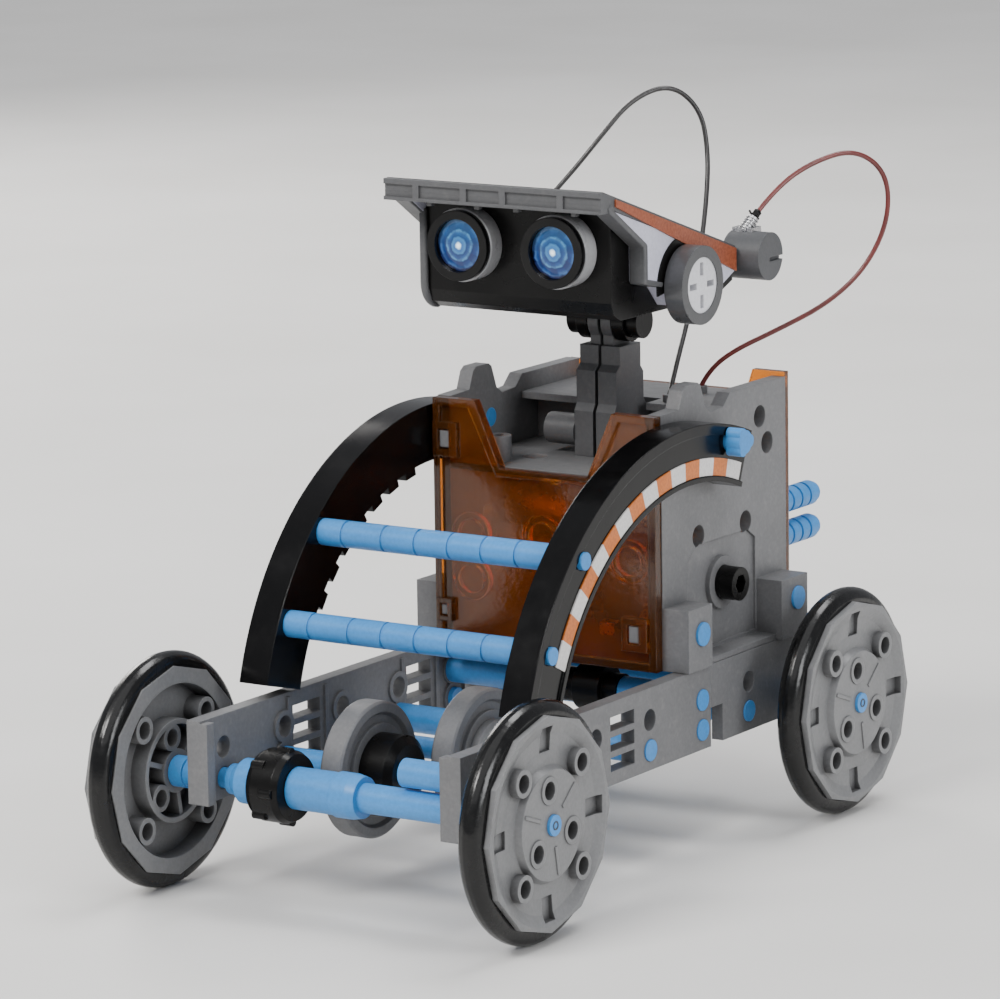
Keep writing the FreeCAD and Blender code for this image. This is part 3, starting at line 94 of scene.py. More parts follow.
class Shade:
    """A material and its node tree, with short ways to add the nodes that most of them use."""

    def __init__(self, name, sockets=()):
        self.material = bpy.data.materials.new(name)
        self.material.use_nodes = True
        self.tree = self.material.node_tree
        self.shader = self.tree.nodes["Principled BSDF"]
        self.position = self.node("ShaderNodeTexCoord").outputs["Object"]
        for socket, value in dict(sockets).items():
            self.shader.inputs[socket].default_value = value

    def node(self, kind, inputs=(), **settings):
        """A new node; its inputs are plain values, or sockets to link from."""
        made = self.tree.nodes.new(kind)
        for setting, value in settings.items():
            setattr(made, setting, value)
        for socket, value in dict(inputs).items():
            if isinstance(value, bpy.types.NodeSocket):
                self.tree.links.new(value, made.inputs[socket])
            else:
                made.inputs[socket].default_value = value
        return made

    def noise(self, scale, detail=3.0):
        """Noise over the piece, with the given number of features in a metre."""
        return self.node("ShaderNodeTexNoise", {"Vector": self.position, "Scale": scale,
                                                "Detail": detail}).outputs["Fac"]

    def ramp(self, factor, stops):
        """A colour ramp through (place, colour) stops."""
        made = self.node("ShaderNodeValToRGB", {"Fac": factor})
        elements = made.color_ramp.elements
        while len(elements) < len(stops):
            elements.new(0.5)
        for element, (place, colour) in zip(elements, stops):
            element.position = place
            element.color = (*colour, 1)
        return made.outputs["Color"]

    def math(self, operation, *values):
        """Any Math node operation on sockets and plain numbers."""
        made = self.node("ShaderNodeMath", operation=operation)
        for socket, value in zip(made.inputs, values):
            if isinstance(value, bpy.types.NodeSocket):
                self.tree.links.new(value, socket)
            else:
                socket.default_value = value
        return made.outputs["Value"]

    def span(self, factor, low, high, start=0.0, stop=1.0):
        """Move a value from one range to another."""
        return self.node("ShaderNodeMapRange", {"Value": factor, "From Min": start,
                                                "From Max": stop, "To Min": low,
                                                "To Max": high}).outputs["Result"]

    def mix(self, factor, first, second, blend="MIX"):
        """Blend two colours, each a socket or a tuple."""
        made = self.node("ShaderNodeMix", data_type="RGBA", blend_type=blend)
        for socket, value in ((0, factor), (6, first), (7, second)):
            if isinstance(value, bpy.types.NodeSocket):
                self.tree.links.new(value, made.inputs[socket])
            elif isinstance(value, tuple):
                made.inputs[socket].default_value = (*value, 1)
            else:
                made.inputs[socket].default_value = value
        return made.outputs[2]

    def axes(self):
        """The across, along and up coordinates of the point shaded, in metres."""
        parts = self.node("ShaderNodeSeparateXYZ", {"Vector": self.position}).outputs
        return parts["X"], parts["Y"], parts["Z"]

    def set(self, socket, value):
        """Link a node's output to one of the shader's sockets."""
        self.tree.links.new(value, self.shader.inputs[socket])

    def surface(self, height, depth, edge=0.0003):
        """Bump the surface by a height, over edges that are rounded a little."""
        rounded = self.node("ShaderNodeBevel", {"Radius": edge}, samples=4).outputs["Normal"]
        bump = self.node("ShaderNodeBump", {"Height": height, "Distance": depth,
                                            "Normal": rounded})
        self.set("Normal", bump.outputs["Normal"])
        return rounded

    def edge_wear_and_highlight(self, rounded, colour, lighter, amount):
        """Lighten the colour along the edges, where the rounded normal leaves the flat one: rubbed
        wear on the moulded plastics, a painted highlight on the cover.
        """
        flat = self.node("ShaderNodeNewGeometry").outputs["Normal"]
        same = self.node("ShaderNodeVectorMath", {0: rounded, 1: flat},
                         operation="DOT_PRODUCT").outputs["Value"]
        edge = self.span(same, amount, 0.0, 0.72, 0.995)
        patchy = self.math("MULTIPLY", edge, self.span(self.noise(420), 0.35, 1.0, 0.3, 0.7))
        return self.mix(patchy, colour, lighter)


    def crevices(self, colour, amount):
        """Darken the colour with painted shade where the shape closes in on itself: valleys, slots
        and corners.
        """
        open_sky = self.node("ShaderNodeAmbientOcclusion", {"Distance": 4 * MM},
                             samples=6).outputs["AO"]
        return self.mix(self.span(open_sky, amount, 0.0, 0.3, 0.92), colour,
                        (0.022, 0.021, 0.021))


def shade_of(colour, factor):
    """A colour made lighter or darker by a factor."""
    return tuple(min(1.0, part * factor) for part in colour)


def moulded(name, colour, roughness, grain=0.35, edge=0.0003, wear=0.35, coat=0.0, dust=0.0,
            specular=0.45, painted_shade=0.0):
    """Injection-moulded plastic: flow marks, fine grain, paler rubbed edges, dust, and painted
    shade in its hollows.
    """
    shade = Shade(name, {"Specular IOR Level": specular, "Coat Weight": coat,
                         "Coat Roughness": 0.08})
    flow = shade.noise(46, 4)
    speckle = shade.noise(1500, 2)
    base = shade.ramp(flow, [(0.3, shade_of(colour, 0.88)), (0.52, colour),
                             (0.75, shade_of(colour, 1.10))])
    base = shade.mix(0.16, base, shade.ramp(speckle, [(0.35, shade_of(colour, 0.7)),
                                                      (0.65, shade_of(colour, 1.35))]))
    grainy = shade.math("ADD", shade.math("MULTIPLY", shade.noise(2600, 2), grain),
                        shade.math("MULTIPLY", shade.noise(210, 3), 0.5))
    rounded = shade.surface(grainy, 0.00006, edge)
    base = shade.edge_wear_and_highlight(rounded, base, shade_of(colour, 1.55), wear)
    if dust:
        settled = shade.span(shade.noise(700, 5), 0.0, dust, 0.52, 0.75)
        base = shade.mix(settled, base, (0.42, 0.40, 0.38))
    # Painted shade: the colour darkens in hollows and corners, where shade falls.
    if painted_shade:
        base = shade.crevices(base, painted_shade)
    shade.set("Base Color", base)
    shade.set("Roughness", shade.span(shade.noise(130, 4), roughness - 0.07, roughness + 0.09,
                                      0.3, 0.7))
    return shade


def grey_moulded():
    """The mid grey of the chassis and gearbox, with painted shade in its hollows."""
    return moulded("moulded_grey", (0.150, 0.151, 0.156), 0.44, wear=0.5, dust=0.10,
                   painted_shade=0.40).material


def wheel_moulded():
    """The paler grey of the wheel discs, with painted shade darkening their valleys."""
    return moulded("moulded_wheel_grey", (0.176, 0.178, 0.182), 0.36, wear=0.7, dust=0.08,
                   painted_shade=0.75).material


def clear_orange():
    """See-through orange cover: tinted, a little cloudy, with flow streaks and a painted highlight
    along its edges.
    """
    colour = (0.76, 0.225, 0.028)
    shade = Shade("clear_orange_cover", {"IOR": 1.46, "Transmission Weight": 0.94,
                                         "Specular IOR Level": 0.5})
    streak = shade.noise(60, 5)
    tint = shade.ramp(streak, [(0.3, shade_of(colour, 0.78)), (0.55, colour),
                               (0.8, shade_of(colour, 1.2))])
    rounded = shade.surface(shade.math("ADD", shade.noise(900, 2),
                                       shade.math("MULTIPLY", streak, 0.8)), 0.00004, 0.0004)
    # Painted highlight: the cover's edges are lightened to a bright orange.
    shade.set("Base Color", shade.edge_wear_and_highlight(rounded, tint, (1.0, 0.46, 0.11), 0.9))
    shade.set("Roughness", shade.span(shade.noise(160, 3), 0.04, 0.14, 0.3, 0.7))
    return shade.material


def arch_stripe():
    """Orange and white printed blocks that follow the arm's curve."""
    shade = Shade("printed_stripe", {"Specular IOR Level": 0.5})
    _, along, up = shade.axes()
    centre_along, centre_up = ARM_CENTRE
    angle = shade.math("ARCTAN2", shade.math("SUBTRACT", up, centre_up * MM),
                       shade.math("SUBTRACT", along, centre_along * MM))
    first = math.radians(STRIP_START)
    each = math.radians(STRIP_BLOCK * 2)
    turn = shade.math("FRACT", shade.math("DIVIDE", shade.math("SUBTRACT", angle, first), each))
    block = shade.ramp(turn, [(0.0, (0.66, 0.65, 0.64)), (0.495, (0.66, 0.65, 0.64)),
                              (0.505, (0.55, 0.15, 0.022)), (0.995, (0.55, 0.15, 0.022))])
    print_grain = shade.noise(1900, 2)
    base = shade.mix(0.22, block, shade.ramp(print_grain, [(0.35, (0.18, 0.12, 0.09)),
                                                           (0.7, (0.9, 0.85, 0.8))]), "OVERLAY")
    shade.set("Base Color", base)
    shade.set("Roughness", shade.span(shade.noise(300, 3), 0.28, 0.45, 0.3, 0.7))
    shade.surface(print_grain, 0.00003, 0.0001)
    return shade.material


def side_stripe():
    """The terracotta strip on the side of the head: printed."""
    shade = Shade("printed_terracotta", {"Specular IOR Level": 0.45})
    grain = shade.noise(1700, 2)
    base = shade.ramp(shade.noise(90, 4), [(0.3, (0.20, 0.040, 0.015)),
                                           (0.7, (0.29, 0.062, 0.022))])
    base = shade.mix(0.18, base, shade.ramp(grain, [(0.35, (0.16, 0.04, 0.02)),
                                                    (0.7, (0.75, 0.3, 0.15))]))
    shade.set("Base Color", base)
    shade.set("Roughness", shade.span(shade.noise(240, 3), 0.33, 0.5, 0.3, 0.7))
    shade.surface(grain, 0.00003, 0.0001)
    return shade.material


def lens_blue():
    """A domed lens: rings of light and dark blue, a painted sky reflection towards its top and a
    painted glow in its middle.
    """
    shade = Shade("lens_rings", {"Coat Weight": 0.3, "Coat Roughness": 0.03, "Roughness": 0.22,
                                 "Specular IOR Level": 0.3})
    across, _, up = shade.axes()
    side = shade.math("SUBTRACT", shade.math("ABSOLUTE", across), EYE_ACROSS * MM)
    rise = shade.math("SUBTRACT", up, EYE_HEIGHT * MM)
    radius = shade.math("SQRT", shade.math("ADD", shade.math("MULTIPLY", side, side),
                                           shade.math("MULTIPLY", rise, rise)))
    share = shade.math("DIVIDE", radius, LENS_RADIUS * MM)
    wobble = shade.span(shade.noise(700, 3), -0.035, 0.035, 0.3, 0.7)
    rings = shade.ramp(shade.math("ADD", share, wobble), [
        (0.0, (0.85, 0.95, 1.0)), (0.08, (0.50, 0.74, 0.92)), (0.17, (0.022, 0.10, 0.30)),
        (0.30, (0.060, 0.22, 0.48)), (0.37, (0.010, 0.040, 0.16)), (0.48, (0.022, 0.085, 0.27)),
        (0.56, (0.085, 0.27, 0.52)), (0.63, (0.008, 0.028, 0.13)), (0.76, (0.016, 0.058, 0.22)),
        (0.86, (0.065, 0.17, 0.42)), (0.93, (0.006, 0.012, 0.07)), (1.0, (0.002, 0.003, 0.01))])
    angle = shade.math("ARCTAN2", rise, side)
    spokes = shade.span(shade.math("SINE", shade.math("MULTIPLY", angle, 7.0)), 0.0, 1.0, -0.2, 0.3)
    dark = shade.mix(shade.math("MULTIPLY", spokes, shade.span(share, 0.0, 0.55, 0.28, 0.62)),
                     rings, (0.018, 0.03, 0.12))
    # Painted reflection: the lens turns a lighter sky blue towards its top.
    sky = shade.span(rise, 0.0, 0.26, -1.0 * MM, 4.8 * MM)
    colour = shade.mix(sky, dark, (0.07, 0.30, 0.56))
    # Painted glow: the middle is white and emits light, standing in for a glint.
    painted_glow = shade.mix(shade.span(share, 0.8, 0.0, 0.04, 0.13), colour, (0.90, 0.96, 1.0))
    shade.set("Base Color", painted_glow)
    shade.set("Emission Color", painted_glow)
    shade.set("Emission Strength", shade.span(share, 0.8, 0.06, 0.04, 0.26))
    shade.surface(share, 0.00005, 0.0001)
    return shade.material


def solar_cells():
    """Dark silicon with fine silver fingers, two bus bars and gaps between its cells."""
    shade = Shade("solar_cells", {"Coat Weight": 0.9, "Coat Roughness": 0.05,
                                  "Specular IOR Level": 0.6})
    across, along, _ = shade.axes()

    def lines(value, pitch, width, offset=0.0):
        """One where a line falls, at every pitch across a value, and zero between."""
        part = shade.math("FRACT", shade.math("DIVIDE", shade.math("ADD", value, 100 * pitch * MM
                                                                + offset * MM), pitch * MM))
        return shade.math("LESS_THAN", part, width / pitch)

    fingers = lines(along, 1.15, 0.12)
    bars = lines(across, 14.7, 0.55, 14.0)
    gaps = lines(along, 12.2, 0.5, 4.0)
    grain = shade.node("ShaderNodeTexVoronoi", {"Vector": shade.position,
                                                "Scale": 420.0}).outputs["Color"]
    base = shade.mix(0.35, (0.006, 0.009, 0.024), shade.mix(1.0, grain, (0.012, 0.02, 0.06),
                                                            "MULTIPLY"))
    base = shade.mix(shade.math("MULTIPLY", fingers, 0.55), base, (0.33, 0.34, 0.37))
    base = shade.mix(gaps, base, (0.11, 0.11, 0.13))
    base = shade.mix(shade.math("MULTIPLY", bars, 0.85), base, (0.50, 0.51, 0.54))
    shade.set("Base Color", base)
    shade.set("Roughness", shade.span(shade.noise(160, 3), 0.16, 0.32, 0.3, 0.7))
    shade.surface(shade.math("ADD", bars, fingers), 0.00004, 0.0001)
    return shade.material


def metal(name, colour, roughness):
    """Plated metal with a slightly uneven shine."""
    shade = Shade(name, {"Metallic": 1.0})
    shade.set("Base Color", shade.ramp(shade.noise(180, 4), [(0.3, shade_of(colour, 0.75)),
                                                             (0.7, colour)]))
    shade.set("Roughness", shade.span(shade.noise(900, 3), roughness - 0.08, roughness + 0.12,
                                      0.3, 0.7))
    shade.surface(shade.noise(2200, 2), 0.00003, 0.0001)
    return shade.material


def rubber(name, colour, roughness, coat):
    """Tyre rubber: glossy skin with faint mould lines round the ring."""
    shade = Shade(name, {"Coat Weight": coat, "Coat Roughness": 0.12, "Specular IOR Level": 0.32})
    base = shade.ramp(shade.noise(70, 4), [(0.3, shade_of(colour, 0.7)),
                                           (0.7, shade_of(colour, 1.5))])
    dust = shade.span(shade.noise(900, 5), 0.0, 0.02, 0.55, 0.75)
    shade.set("Base Color", shade.mix(dust, base, (0.30, 0.28, 0.26)))
    across, _, _ = shade.axes()
    lines = shade.math("SINE", shade.math("MULTIPLY", across, 6500.0))
    shade.surface(shade.math("ADD", shade.math("MULTIPLY", lines, 0.25), shade.noise(800, 3)),
                  0.00005, 0.0001)
    shade.set("Roughness", shade.span(shade.noise(260, 4), roughness - 0.07, roughness + 0.10,
                                      0.3, 0.7))
    return shade.material


def insulation(name, colour):
    """Thin vinyl wire cover, slightly ribbed by the strands beneath it."""
    shade = Shade(name, {"Coat Weight": 0.3, "Coat Roughness": 0.2})
    shade.set("Base Color", shade.ramp(shade.noise(240, 4), [(0.3, shade_of(colour, 0.75)),
                                                             (0.7, shade_of(colour, 1.2))]))
    shade.surface(shade.noise(1600, 2), 0.00008, 0.0001)
    shade.set("Roughness", shade.span(shade.noise(500, 3), 0.3, 0.48, 0.3, 0.7))
    return shade.material


FINISHES = {
    "grey": grey_moulded(),
    "wheel": wheel_moulded(),
    "soft_grey": moulded("moulded_soft_grey", (0.074, 0.076, 0.081), 0.45, wear=0.3).material,
    # The slate grey carries painted shade in its hollows.
    "slate": moulded("moulded_slate_grey", (0.088, 0.089, 0.093), 0.42, wear=0.5,
                     dust=0.06, painted_shade=0.40).material,
    "barrel": moulded("moulded_silver_grey", (0.36, 0.36, 0.37), 0.30, wear=0.2,
                      coat=0.4).material,
    "blue": moulded("moulded_blue", (0.050, 0.255, 0.610), 0.38, wear=0.3).material,
    "gloss_black": moulded("gloss_black_arm", (0.0022, 0.0021, 0.0023), 0.17, grain=0.1, wear=0.03,
                           dust=0.004, specular=0.26).material,
    "black": moulded("moulded_black", (0.0034, 0.0032, 0.0032), 0.30, wear=0.05,
                     specular=0.20).material,
    "dark_grey": moulded("moulded_dark_grey", (0.055, 0.056, 0.060), 0.30, wear=0.2,
                         coat=0.3).material,
    "clear": clear_orange(),
    "tyre": rubber("tyre_black", (0.0028, 0.0028, 0.0030), 0.22, 0.12),
    "white_side": moulded("moulded_pale_side", (0.56, 0.56, 0.66), 0.42, wear=0.1).material,
    "white_hub": moulded("moulded_white_hub", (0.68, 0.68, 0.71), 0.38, wear=0.1).material,
    "gear": moulded("nylon_white", (0.60, 0.59, 0.55), 0.48, wear=0.1).material,
    "steel": metal("steel", (0.62, 0.62, 0.63), 0.30),
    "brass": metal("brass", (0.80, 0.58, 0.24), 0.28),
    "cells": solar_cells(),
    "arch_stripe": arch_stripe(),
    "side_stripe": side_stripe(),
    "lens": lens_blue(),
    "wire_black": insulation("vinyl_black", (0.016, 0.014, 0.014)),
    "wire_red": insulation("vinyl_red", (0.125, 0.012, 0.010)),
}

NODE_FINISHES = {
    "grey": ("rail_right", "rail_left", "rear_beams", "gearbox_right", "gearbox_left",
             "gearbox_decks", "gearbox_roof", "motor_saddle", "roller_front_rim",
             "roller_rear_rim", "roller_rear_drum"),
    "wheel": ("front_discs", "rear_discs"),
    "dark_grey": ("ear_tyre_right", "ear_tyre_left"),
    "soft_grey": ("head_drums",),
    "slate": ("neck", "head_frame"),
    "barrel": ("eye_barrels",),
    "blue": ("cross_rods", "rod_spacers", "blue_pegs", "tail_pegs", "pivot_knobs", "front_axle",
             "front_sleeves", "front_tube", "rear_axle", "rear_sleeves", "arm_tubes",
             "tube_pins"),
    "gloss_black": ("arch_right", "arch_left", "eye_bezels"),
    "black": ("face_housing", "front_drum", "roller_front_drum", "output_shaft", "tilt_pin",
              "rod_drum", "head_clamp"),
    "clear": ("front_cover", "rear_cover"),
    "tyre": ("front_tyres", "rear_tyres"),
    "white_side": ("side_panels",),
    "white_hub": ("ear_hub_right", "ear_hub_left"),
    "gear": ("middle_gear", "transfer_gear", "rear_axle_gear", "motor_pinion"),
    "steel": ("motor_can", "terminals"),
    "cells": ("solar_cell",),
    "arch_stripe": ("arch_stripes",),
    "side_stripe": ("head_stripes",),
    "lens": ("eye_lenses",),
    "wire_black": ("wire_black",),
    "wire_red": ("wire_red",),
}


def finish_nodes():
    """Put each carried-over node's finish in all of its material slots."""
    for finish, names in NODE_FINISHES.items():
        for name in names:
            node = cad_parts[name]
            if not node.material_slots:
                node.data.materials.append(None)
            for place in node.material_slots:
                place.material = FINISHES[finish]


# ---- pieces in mesh code --------------------------------------------------------------------

def piece(name, mesh, body, finish, smooth=True):
    """A finished mesh as a piece that rides on a body."""
    made = bpy.data.objects.new(name, mesh)
    bpy.context.scene.collection.objects.link(made)
    mesh.materials.append(FINISHES[finish])
    for face in mesh.polygons:
        face.use_smooth = smooth
    if body:
        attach(made, body)
    return made


def joined(name, parts):
    """Several (points, faces) lists as one mesh, with its faces turned outward."""
    build = bmesh.new()
    for points, faces in parts:
        made = [build.verts.new(point) for point in points]
        for face in faces:
            build.faces.new([made[index] for index in face])
    bmesh.ops.recalc_face_normals(build, faces=build.faces)
    mesh = bpy.data.meshes.new(name)
    build.to_mesh(mesh)
    build.free()
    return mesh


def rounded_edges(made, width):
    """Round a piece's sharp edges."""
    bevel = made.modifiers.new("edges", "BEVEL")
    bevel.width = width
    bevel.segments = 2
    bevel.limit_method = "ANGLE"
    bevel.angle_limit = math.radians(40)


def tube(path, radius, sides=12):
    """A round tube along a path, with softly rounded ends."""
    points = []
    faces = []
    direction = (path[1] - path[0]).normalized()
    across = direction.orthogonal().normalized()
    rings = []
    for index, centre in enumerate(path):
        ahead = path[min(index + 1, len(path) - 1)] - path[max(index - 1, 0)]
        ahead.normalize()
        across = (across - ahead * across.dot(ahead)).normalized()
        rings.append((centre, across.copy(), ahead.cross(across), radius, ahead))
    first, last = rings[0], rings[-1]
    rings.insert(0, (first[0] - first[4] * radius * 0.3, first[1], first[2], radius * TUBE_TIP,
                     first[4]))
    rings.append((last[0] + last[4] * radius * 0.3, last[1], last[2], radius * TUBE_TIP, last[4]))
    for centre, right, up, size, ahead in rings:
        for step in range(sides):
            turn = 2 * math.pi * step / sides
            points.append(centre + (right * math.cos(turn) + up * math.sin(turn)) * size)
    for ring in range(len(rings) - 1):
        for step in range(sides):
            after = (step + 1) % sides
            faces.append((ring * sides + step, ring * sides + after,
                          (ring + 1) * sides + after, (ring + 1) * sides + step))
    faces.append(tuple(range(sides)))
    faces.append(tuple(range((len(rings) - 1) * sides, len(rings) * sides)))
    return points, faces


def prism(outline, low, high):
    """An outline of (y, z) places in millimetres, drawn out along X."""
    count = len(outline)
    points = [Vector((x, y, z)) * MM for x in (low, high) for y, z in outline]
    faces = [tuple(range(count)), tuple(range(count, 2 * count))]
    for index in range(count):
        after = (index + 1) % count
        faces.append((index, after, count + after, count + index))
    return points, faces


def mirrored(low, high, side):
    """A stretch of X on the right, or its mirror image on the left."""
    return (low, high) if side > 0 else (-high, -low)


def arc(y, z, radius, start, stop, steps):
    """Places on an arc about (y, z), its angles in degrees counted up from +Y."""
    turns = [math.radians(start + (stop - start) * step / steps) for step in range(steps + 1)]
    return [(y + radius * math.cos(turn), z + radius * math.sin(turn)) for turn in turns]


def band(y, z, inner, outer, start, stop, steps=24):
    """The outline of a curved band about (y, z)."""
    return (arc(y, z, outer, start, stop, steps)
            + arc(y, z, inner, start, stop, steps)[::-1])


# ---- wires ----------------------------------------------------------------------------------

BLACK_ROUTE = ((-24.0, 52.0, 117.8), (-20.5, 56.3, 123.2), (-16.2, 61.0, 130.5),
               (-12.8, 67.0, 137.3), (-8.2, 74.5, 140.0), (-4.3, 79.8, 134.5),
               (-2.2, 79.2, 125.5), (0.2, 74.0, 115.5), (3.0, 66.5, 106.0),
               (5.8, 57.5, 95.5), (8.2, 49.0, 88.0), (10.0, 43.2, 82.5))
RED_ROUTE = ((24.4, 51.8, 117.8), (26.5, 56.2, 122.9), (30.5, 63.5, 127.5),
             (35.5, 72.0, 129.6), (39.2, 78.3, 124.5), (39.2, 79.2, 115.0),
             (35.8, 76.0, 105.5), (30.0, 70.8, 98.6), (22.5, 64.3, 93.8),
             (15.0, 58.6, 89.6), (11.2, 55.8, 85.6), (10.0, 55.0, 82.5))


def smooth_line(name, route):
    """Points on the smooth line that a route's places pull towards them."""
    curve = bpy.data.curves.new(name, "CURVE")
    curve.dimensions = "3D"
    curve.resolution_u = 10
    spline = curve.splines.new("NURBS")
    spline.points.add(len(route) - 1)
    for point, place in zip(spline.points, route):
        point.co = (*(Vector(place) * MM), 1)
    spline.order_u = 3
    spline.use_endpoint_u = True
    holder = bpy.data.objects.new(name, curve)
    bpy.context.scene.collection.objects.link(holder)
    mesh = bpy.data.meshes.new_from_object(holder)
    line = [vertex.co.copy() for vertex in mesh.vertices]
    bpy.data.objects.remove(holder)
    bpy.data.meshes.remove(mesh)
    return line


def add_wire(name, route):
    """A wire from the head to the gearbox roof, bending between the two."""
    line = smooth_line(name + "_line", route)
    mesh = joined(name + "_cord", [tube(line, WIRE_RADIUS * MM)])
    made = piece(name + "_cord", mesh, None, name)
    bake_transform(made)
    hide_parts(name)


add_camera()
finish_nodes()
add_wire("wire_black", BLACK_ROUTE)
add_wire("wire_red", RED_ROUTE)


# ---- head details ---------------------------------------------------------------------------

def side_borders():
    """The grey border round the front and lower edge of each side panel."""
    outer = [(-1.6, 125.9), (-1.0, 125.0), (11.2, 117.0), (11.2, 110.0), (17.6, 108.6)]
    inner = [(17.9, 109.7), (12.4, 110.9), (12.4, 117.5), (11.8, 118.0), (0.6, 125.5),
             (-0.3, 126.9)]
    for side, tag in ((1, "right"), (-1, "left")):
        low, high = mirrored(20.9, 24.6, side)
        made = piece("side_border_" + tag, joined("side_border", [prism(outer + inner, low, high)]),
                     "head", "slate", smooth=False)
        rounded_edges(made, 0.35 * MM)


def wheel_arch_shadows():
    """A black band of painted shadow in the gap round each ear wheel."""
    for side, tag in ((1, "right"), (-1, "left")):
        low, high = mirrored(24.2, 24.5, side)
        outline = band(*EAR_CENTRE, 6.5, 9.3, 35, 188)
        piece("ear_arch_shadow_" + tag, joined("ear_arch_shadow", [prism(outline, low, high)]), "head",
              "black", smooth=False)


def chin_edge():
    """The grey edge down the left of the face, rounded under into the chin."""
    line = [Vector((-21.0, y, z)) * MM for y, z in
            [(4.6, 122.5), (4.6, 116), (4.6, 110)] + arc(9.4, 108.2, 4.8, 180, 262, 8)]
    wide = []
    for shift in (0.0, 1.1 * MM):
        wide.append(tube([point - Vector((shift * 0.4, 0, 0)) for point in line], 0.65 * MM, 10))
    piece("chin_edge", joined("chin_edge", wide), "head", "slate")


def spring_terminals():
    """A steel coil and a black crimp on each terminal, where a wire leaves it."""
    for name, route in (("right", RED_ROUTE), ("left", BLACK_ROUTE)):
        tip = Vector(route[0]) * MM
        ahead = (Vector(route[1]) - Vector(route[0])).normalized()
        right = ahead.orthogonal().normalized()
        up = ahead.cross(right)
        coil = []
        turns = 5
        for step in range(turns * 14 + 1):
            turn = 2 * math.pi * step / 14
            along = -3.3 * MM + 3.0 * MM * step / (turns * 14)
            coil.append(tip + ahead * along
                        + (right * math.cos(turn) + up * math.sin(turn)) * 1.12 * MM)
        piece("spring_" + name, joined("spring", [tube(coil, 0.2 * MM, 8)]), "head",
              "steel")
        crimp = [tip + ahead * along * MM for along in (-0.5, 0.1, 0.8, 1.5)]
        parts = [tube(crimp, 0.82 * MM, 14)]
        for turn in (0.6, 2.7, 4.6):
            out = right * math.cos(turn) + up * math.sin(turn)
            parts.append(tube([tip + ahead * 0.2 * MM + out * 0.5 * MM,
                               tip + ahead * 0.7 * MM + out * 1.5 * MM], 0.22 * MM, 8))
        piece("crimp_" + name, joined("crimp", parts), "head", "black")


# ---- gearbox details ------------------------------------------------------------------------

def box_between(low, high):
    """A box's eight corners and six faces, in millimetres."""
    points = [Vector((x, y, z)) * MM for x in (low[0], high[0]) for y in (low[1], high[1])
              for z in (low[2], high[2])]
    faces = [(0, 1, 3, 2), (4, 5, 7, 6), (0, 1, 5, 4), (2, 3, 7, 6), (0, 2, 6, 4), (1, 3, 7, 5)]
    return points, faces


def cover_tabs():
    """The grey catches of the side plates, showing in the cover's latch windows."""
    tabs = [box_between((-23.8, 12.5, 74.5), (-21.6, 14.4, 78.0)),
            box_between((19.1, 12.5, 40.0), (21.4, 14.4, 43.4)),
            box_between((-24.0, 12.5, 41.2), (-22.6, 14.4, 43.3))]
    made = piece("cover_tabs", joined("cover_tabs", tabs), "root", "grey",
                 smooth=False)
    rounded_edges(made, 0.3 * MM)


def brass_contact():
    """A small folded brass contact behind the front cover."""
    outline = [(15.6, 40.4), (16.0, 40.4), (16.0, 42.4), (17.6, 42.8), (17.6, 43.2), (15.6, 42.8)]
    made = piece("brass_contact", joined("brass_contact", [prism(outline, 11.0, 14.2)]), "root",
                 "brass", smooth=False)
    rounded_edges(made, 0.1 * MM)


def axle_centres():
    """The dimple ring in the middle of each axle's end."""
    for body, along in AXLES.items():
        parts = []
        for side in (1, -1):
            ring = [Vector((side * AXLE_END, along + DIMPLE_RADIUS * math.cos(turn),
                            AXLE_HEIGHT + DIMPLE_RADIUS * math.sin(turn))) * MM
                    for turn in [2 * math.pi * step / 20 for step in range(21)]]
            parts.append(tube(ring, 0.16 * MM, 8))
        piece(body + "_centres", joined("axle_centres", parts), body, "soft_grey")


# ---- stage and lights -----------------------------------------------------------------------

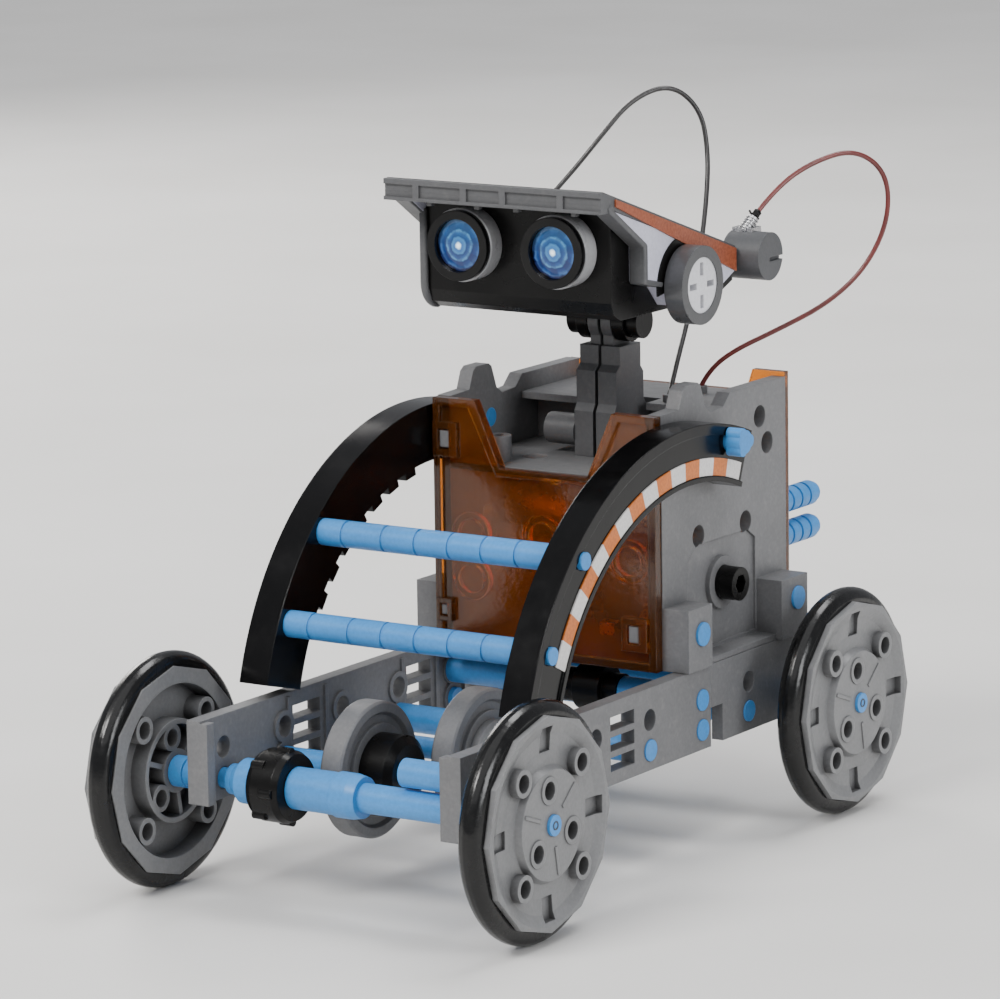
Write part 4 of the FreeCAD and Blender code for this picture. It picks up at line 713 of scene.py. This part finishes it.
def add_floor():
    """A wide pale floor, so smooth that only its slight mottling shows."""
    build = bmesh.new()
    bmesh.ops.create_grid(build, x_segments=8, y_segments=8, size=40)
    mesh = bpy.data.meshes.new("floor")
    build.to_mesh(mesh)
    build.free()
    floor = bpy.data.objects.new("floor", mesh)
    bpy.context.scene.collection.objects.link(floor)
    shade = Shade("floor_paper", {"Roughness": 0.62, "Specular IOR Level": 0.25})
    shade.set("Base Color", shade.ramp(shade.noise(9, 4), [(0.3, (0.70, 0.69, 0.67)),
                                                           (0.7, (0.76, 0.75, 0.735))]))
    mesh.materials.append(shade.material)


def add_light(name, place, aim, size, power, colour=(1, 1, 1)):
    """A soft rectangular lamp that points at a place."""
    lamp = bpy.data.lights.new(name, "AREA")
    lamp.shape = "RECTANGLE"
    lamp.size, lamp.size_y = size
    lamp.energy = power
    lamp.color = colour
    made = bpy.data.objects.new(name, lamp)
    bpy.context.scene.collection.objects.link(made)
    made.location = place
    made.rotation_euler = (Vector(place) - Vector(aim)).to_track_quat("Z", "Y").to_euler()


def add_lights():
    """Four soft lamps near the robot, a wide sun for the floor beyond it, and a pale sky."""
    aim = (0, 0, 0.06)
    add_light("key", (-0.25, -1.05, 1.05), aim, (0.55, 0.4), 16, (1.0, 0.985, 0.96))
    add_light("side", (1.15, -0.15, 0.45), aim, (0.4, 0.5), 6.5, (0.97, 0.985, 1.0))
    add_light("top", (0.1, 0.5, 1.2), aim, (0.7, 0.4), 9)
    add_light("back", (-0.9, 0.6, 0.5), aim, (0.4, 0.5), 6, (1.0, 0.97, 0.93))
    sky = bpy.data.lights.new("sky", "SUN")
    sky.energy = 1.15
    sky.angle = math.radians(70)
    overhead = bpy.data.objects.new("sky", sky)
    overhead.rotation_euler = (math.radians(28), math.radians(12), 0)
    bpy.context.scene.collection.objects.link(overhead)
    world = bpy.data.worlds.new("studio")
    bpy.context.scene.world = world
    world.use_nodes = True
    background = world.node_tree.nodes["Background"]
    background.inputs["Color"].default_value = (0.93, 0.95, 1.0, 1)
    background.inputs["Strength"].default_value = 0.42


side_borders()
wheel_arch_shadows()
chin_edge()
spring_terminals()
cover_tabs()
brass_contact()
axle_centres()
add_floor()
add_lights()
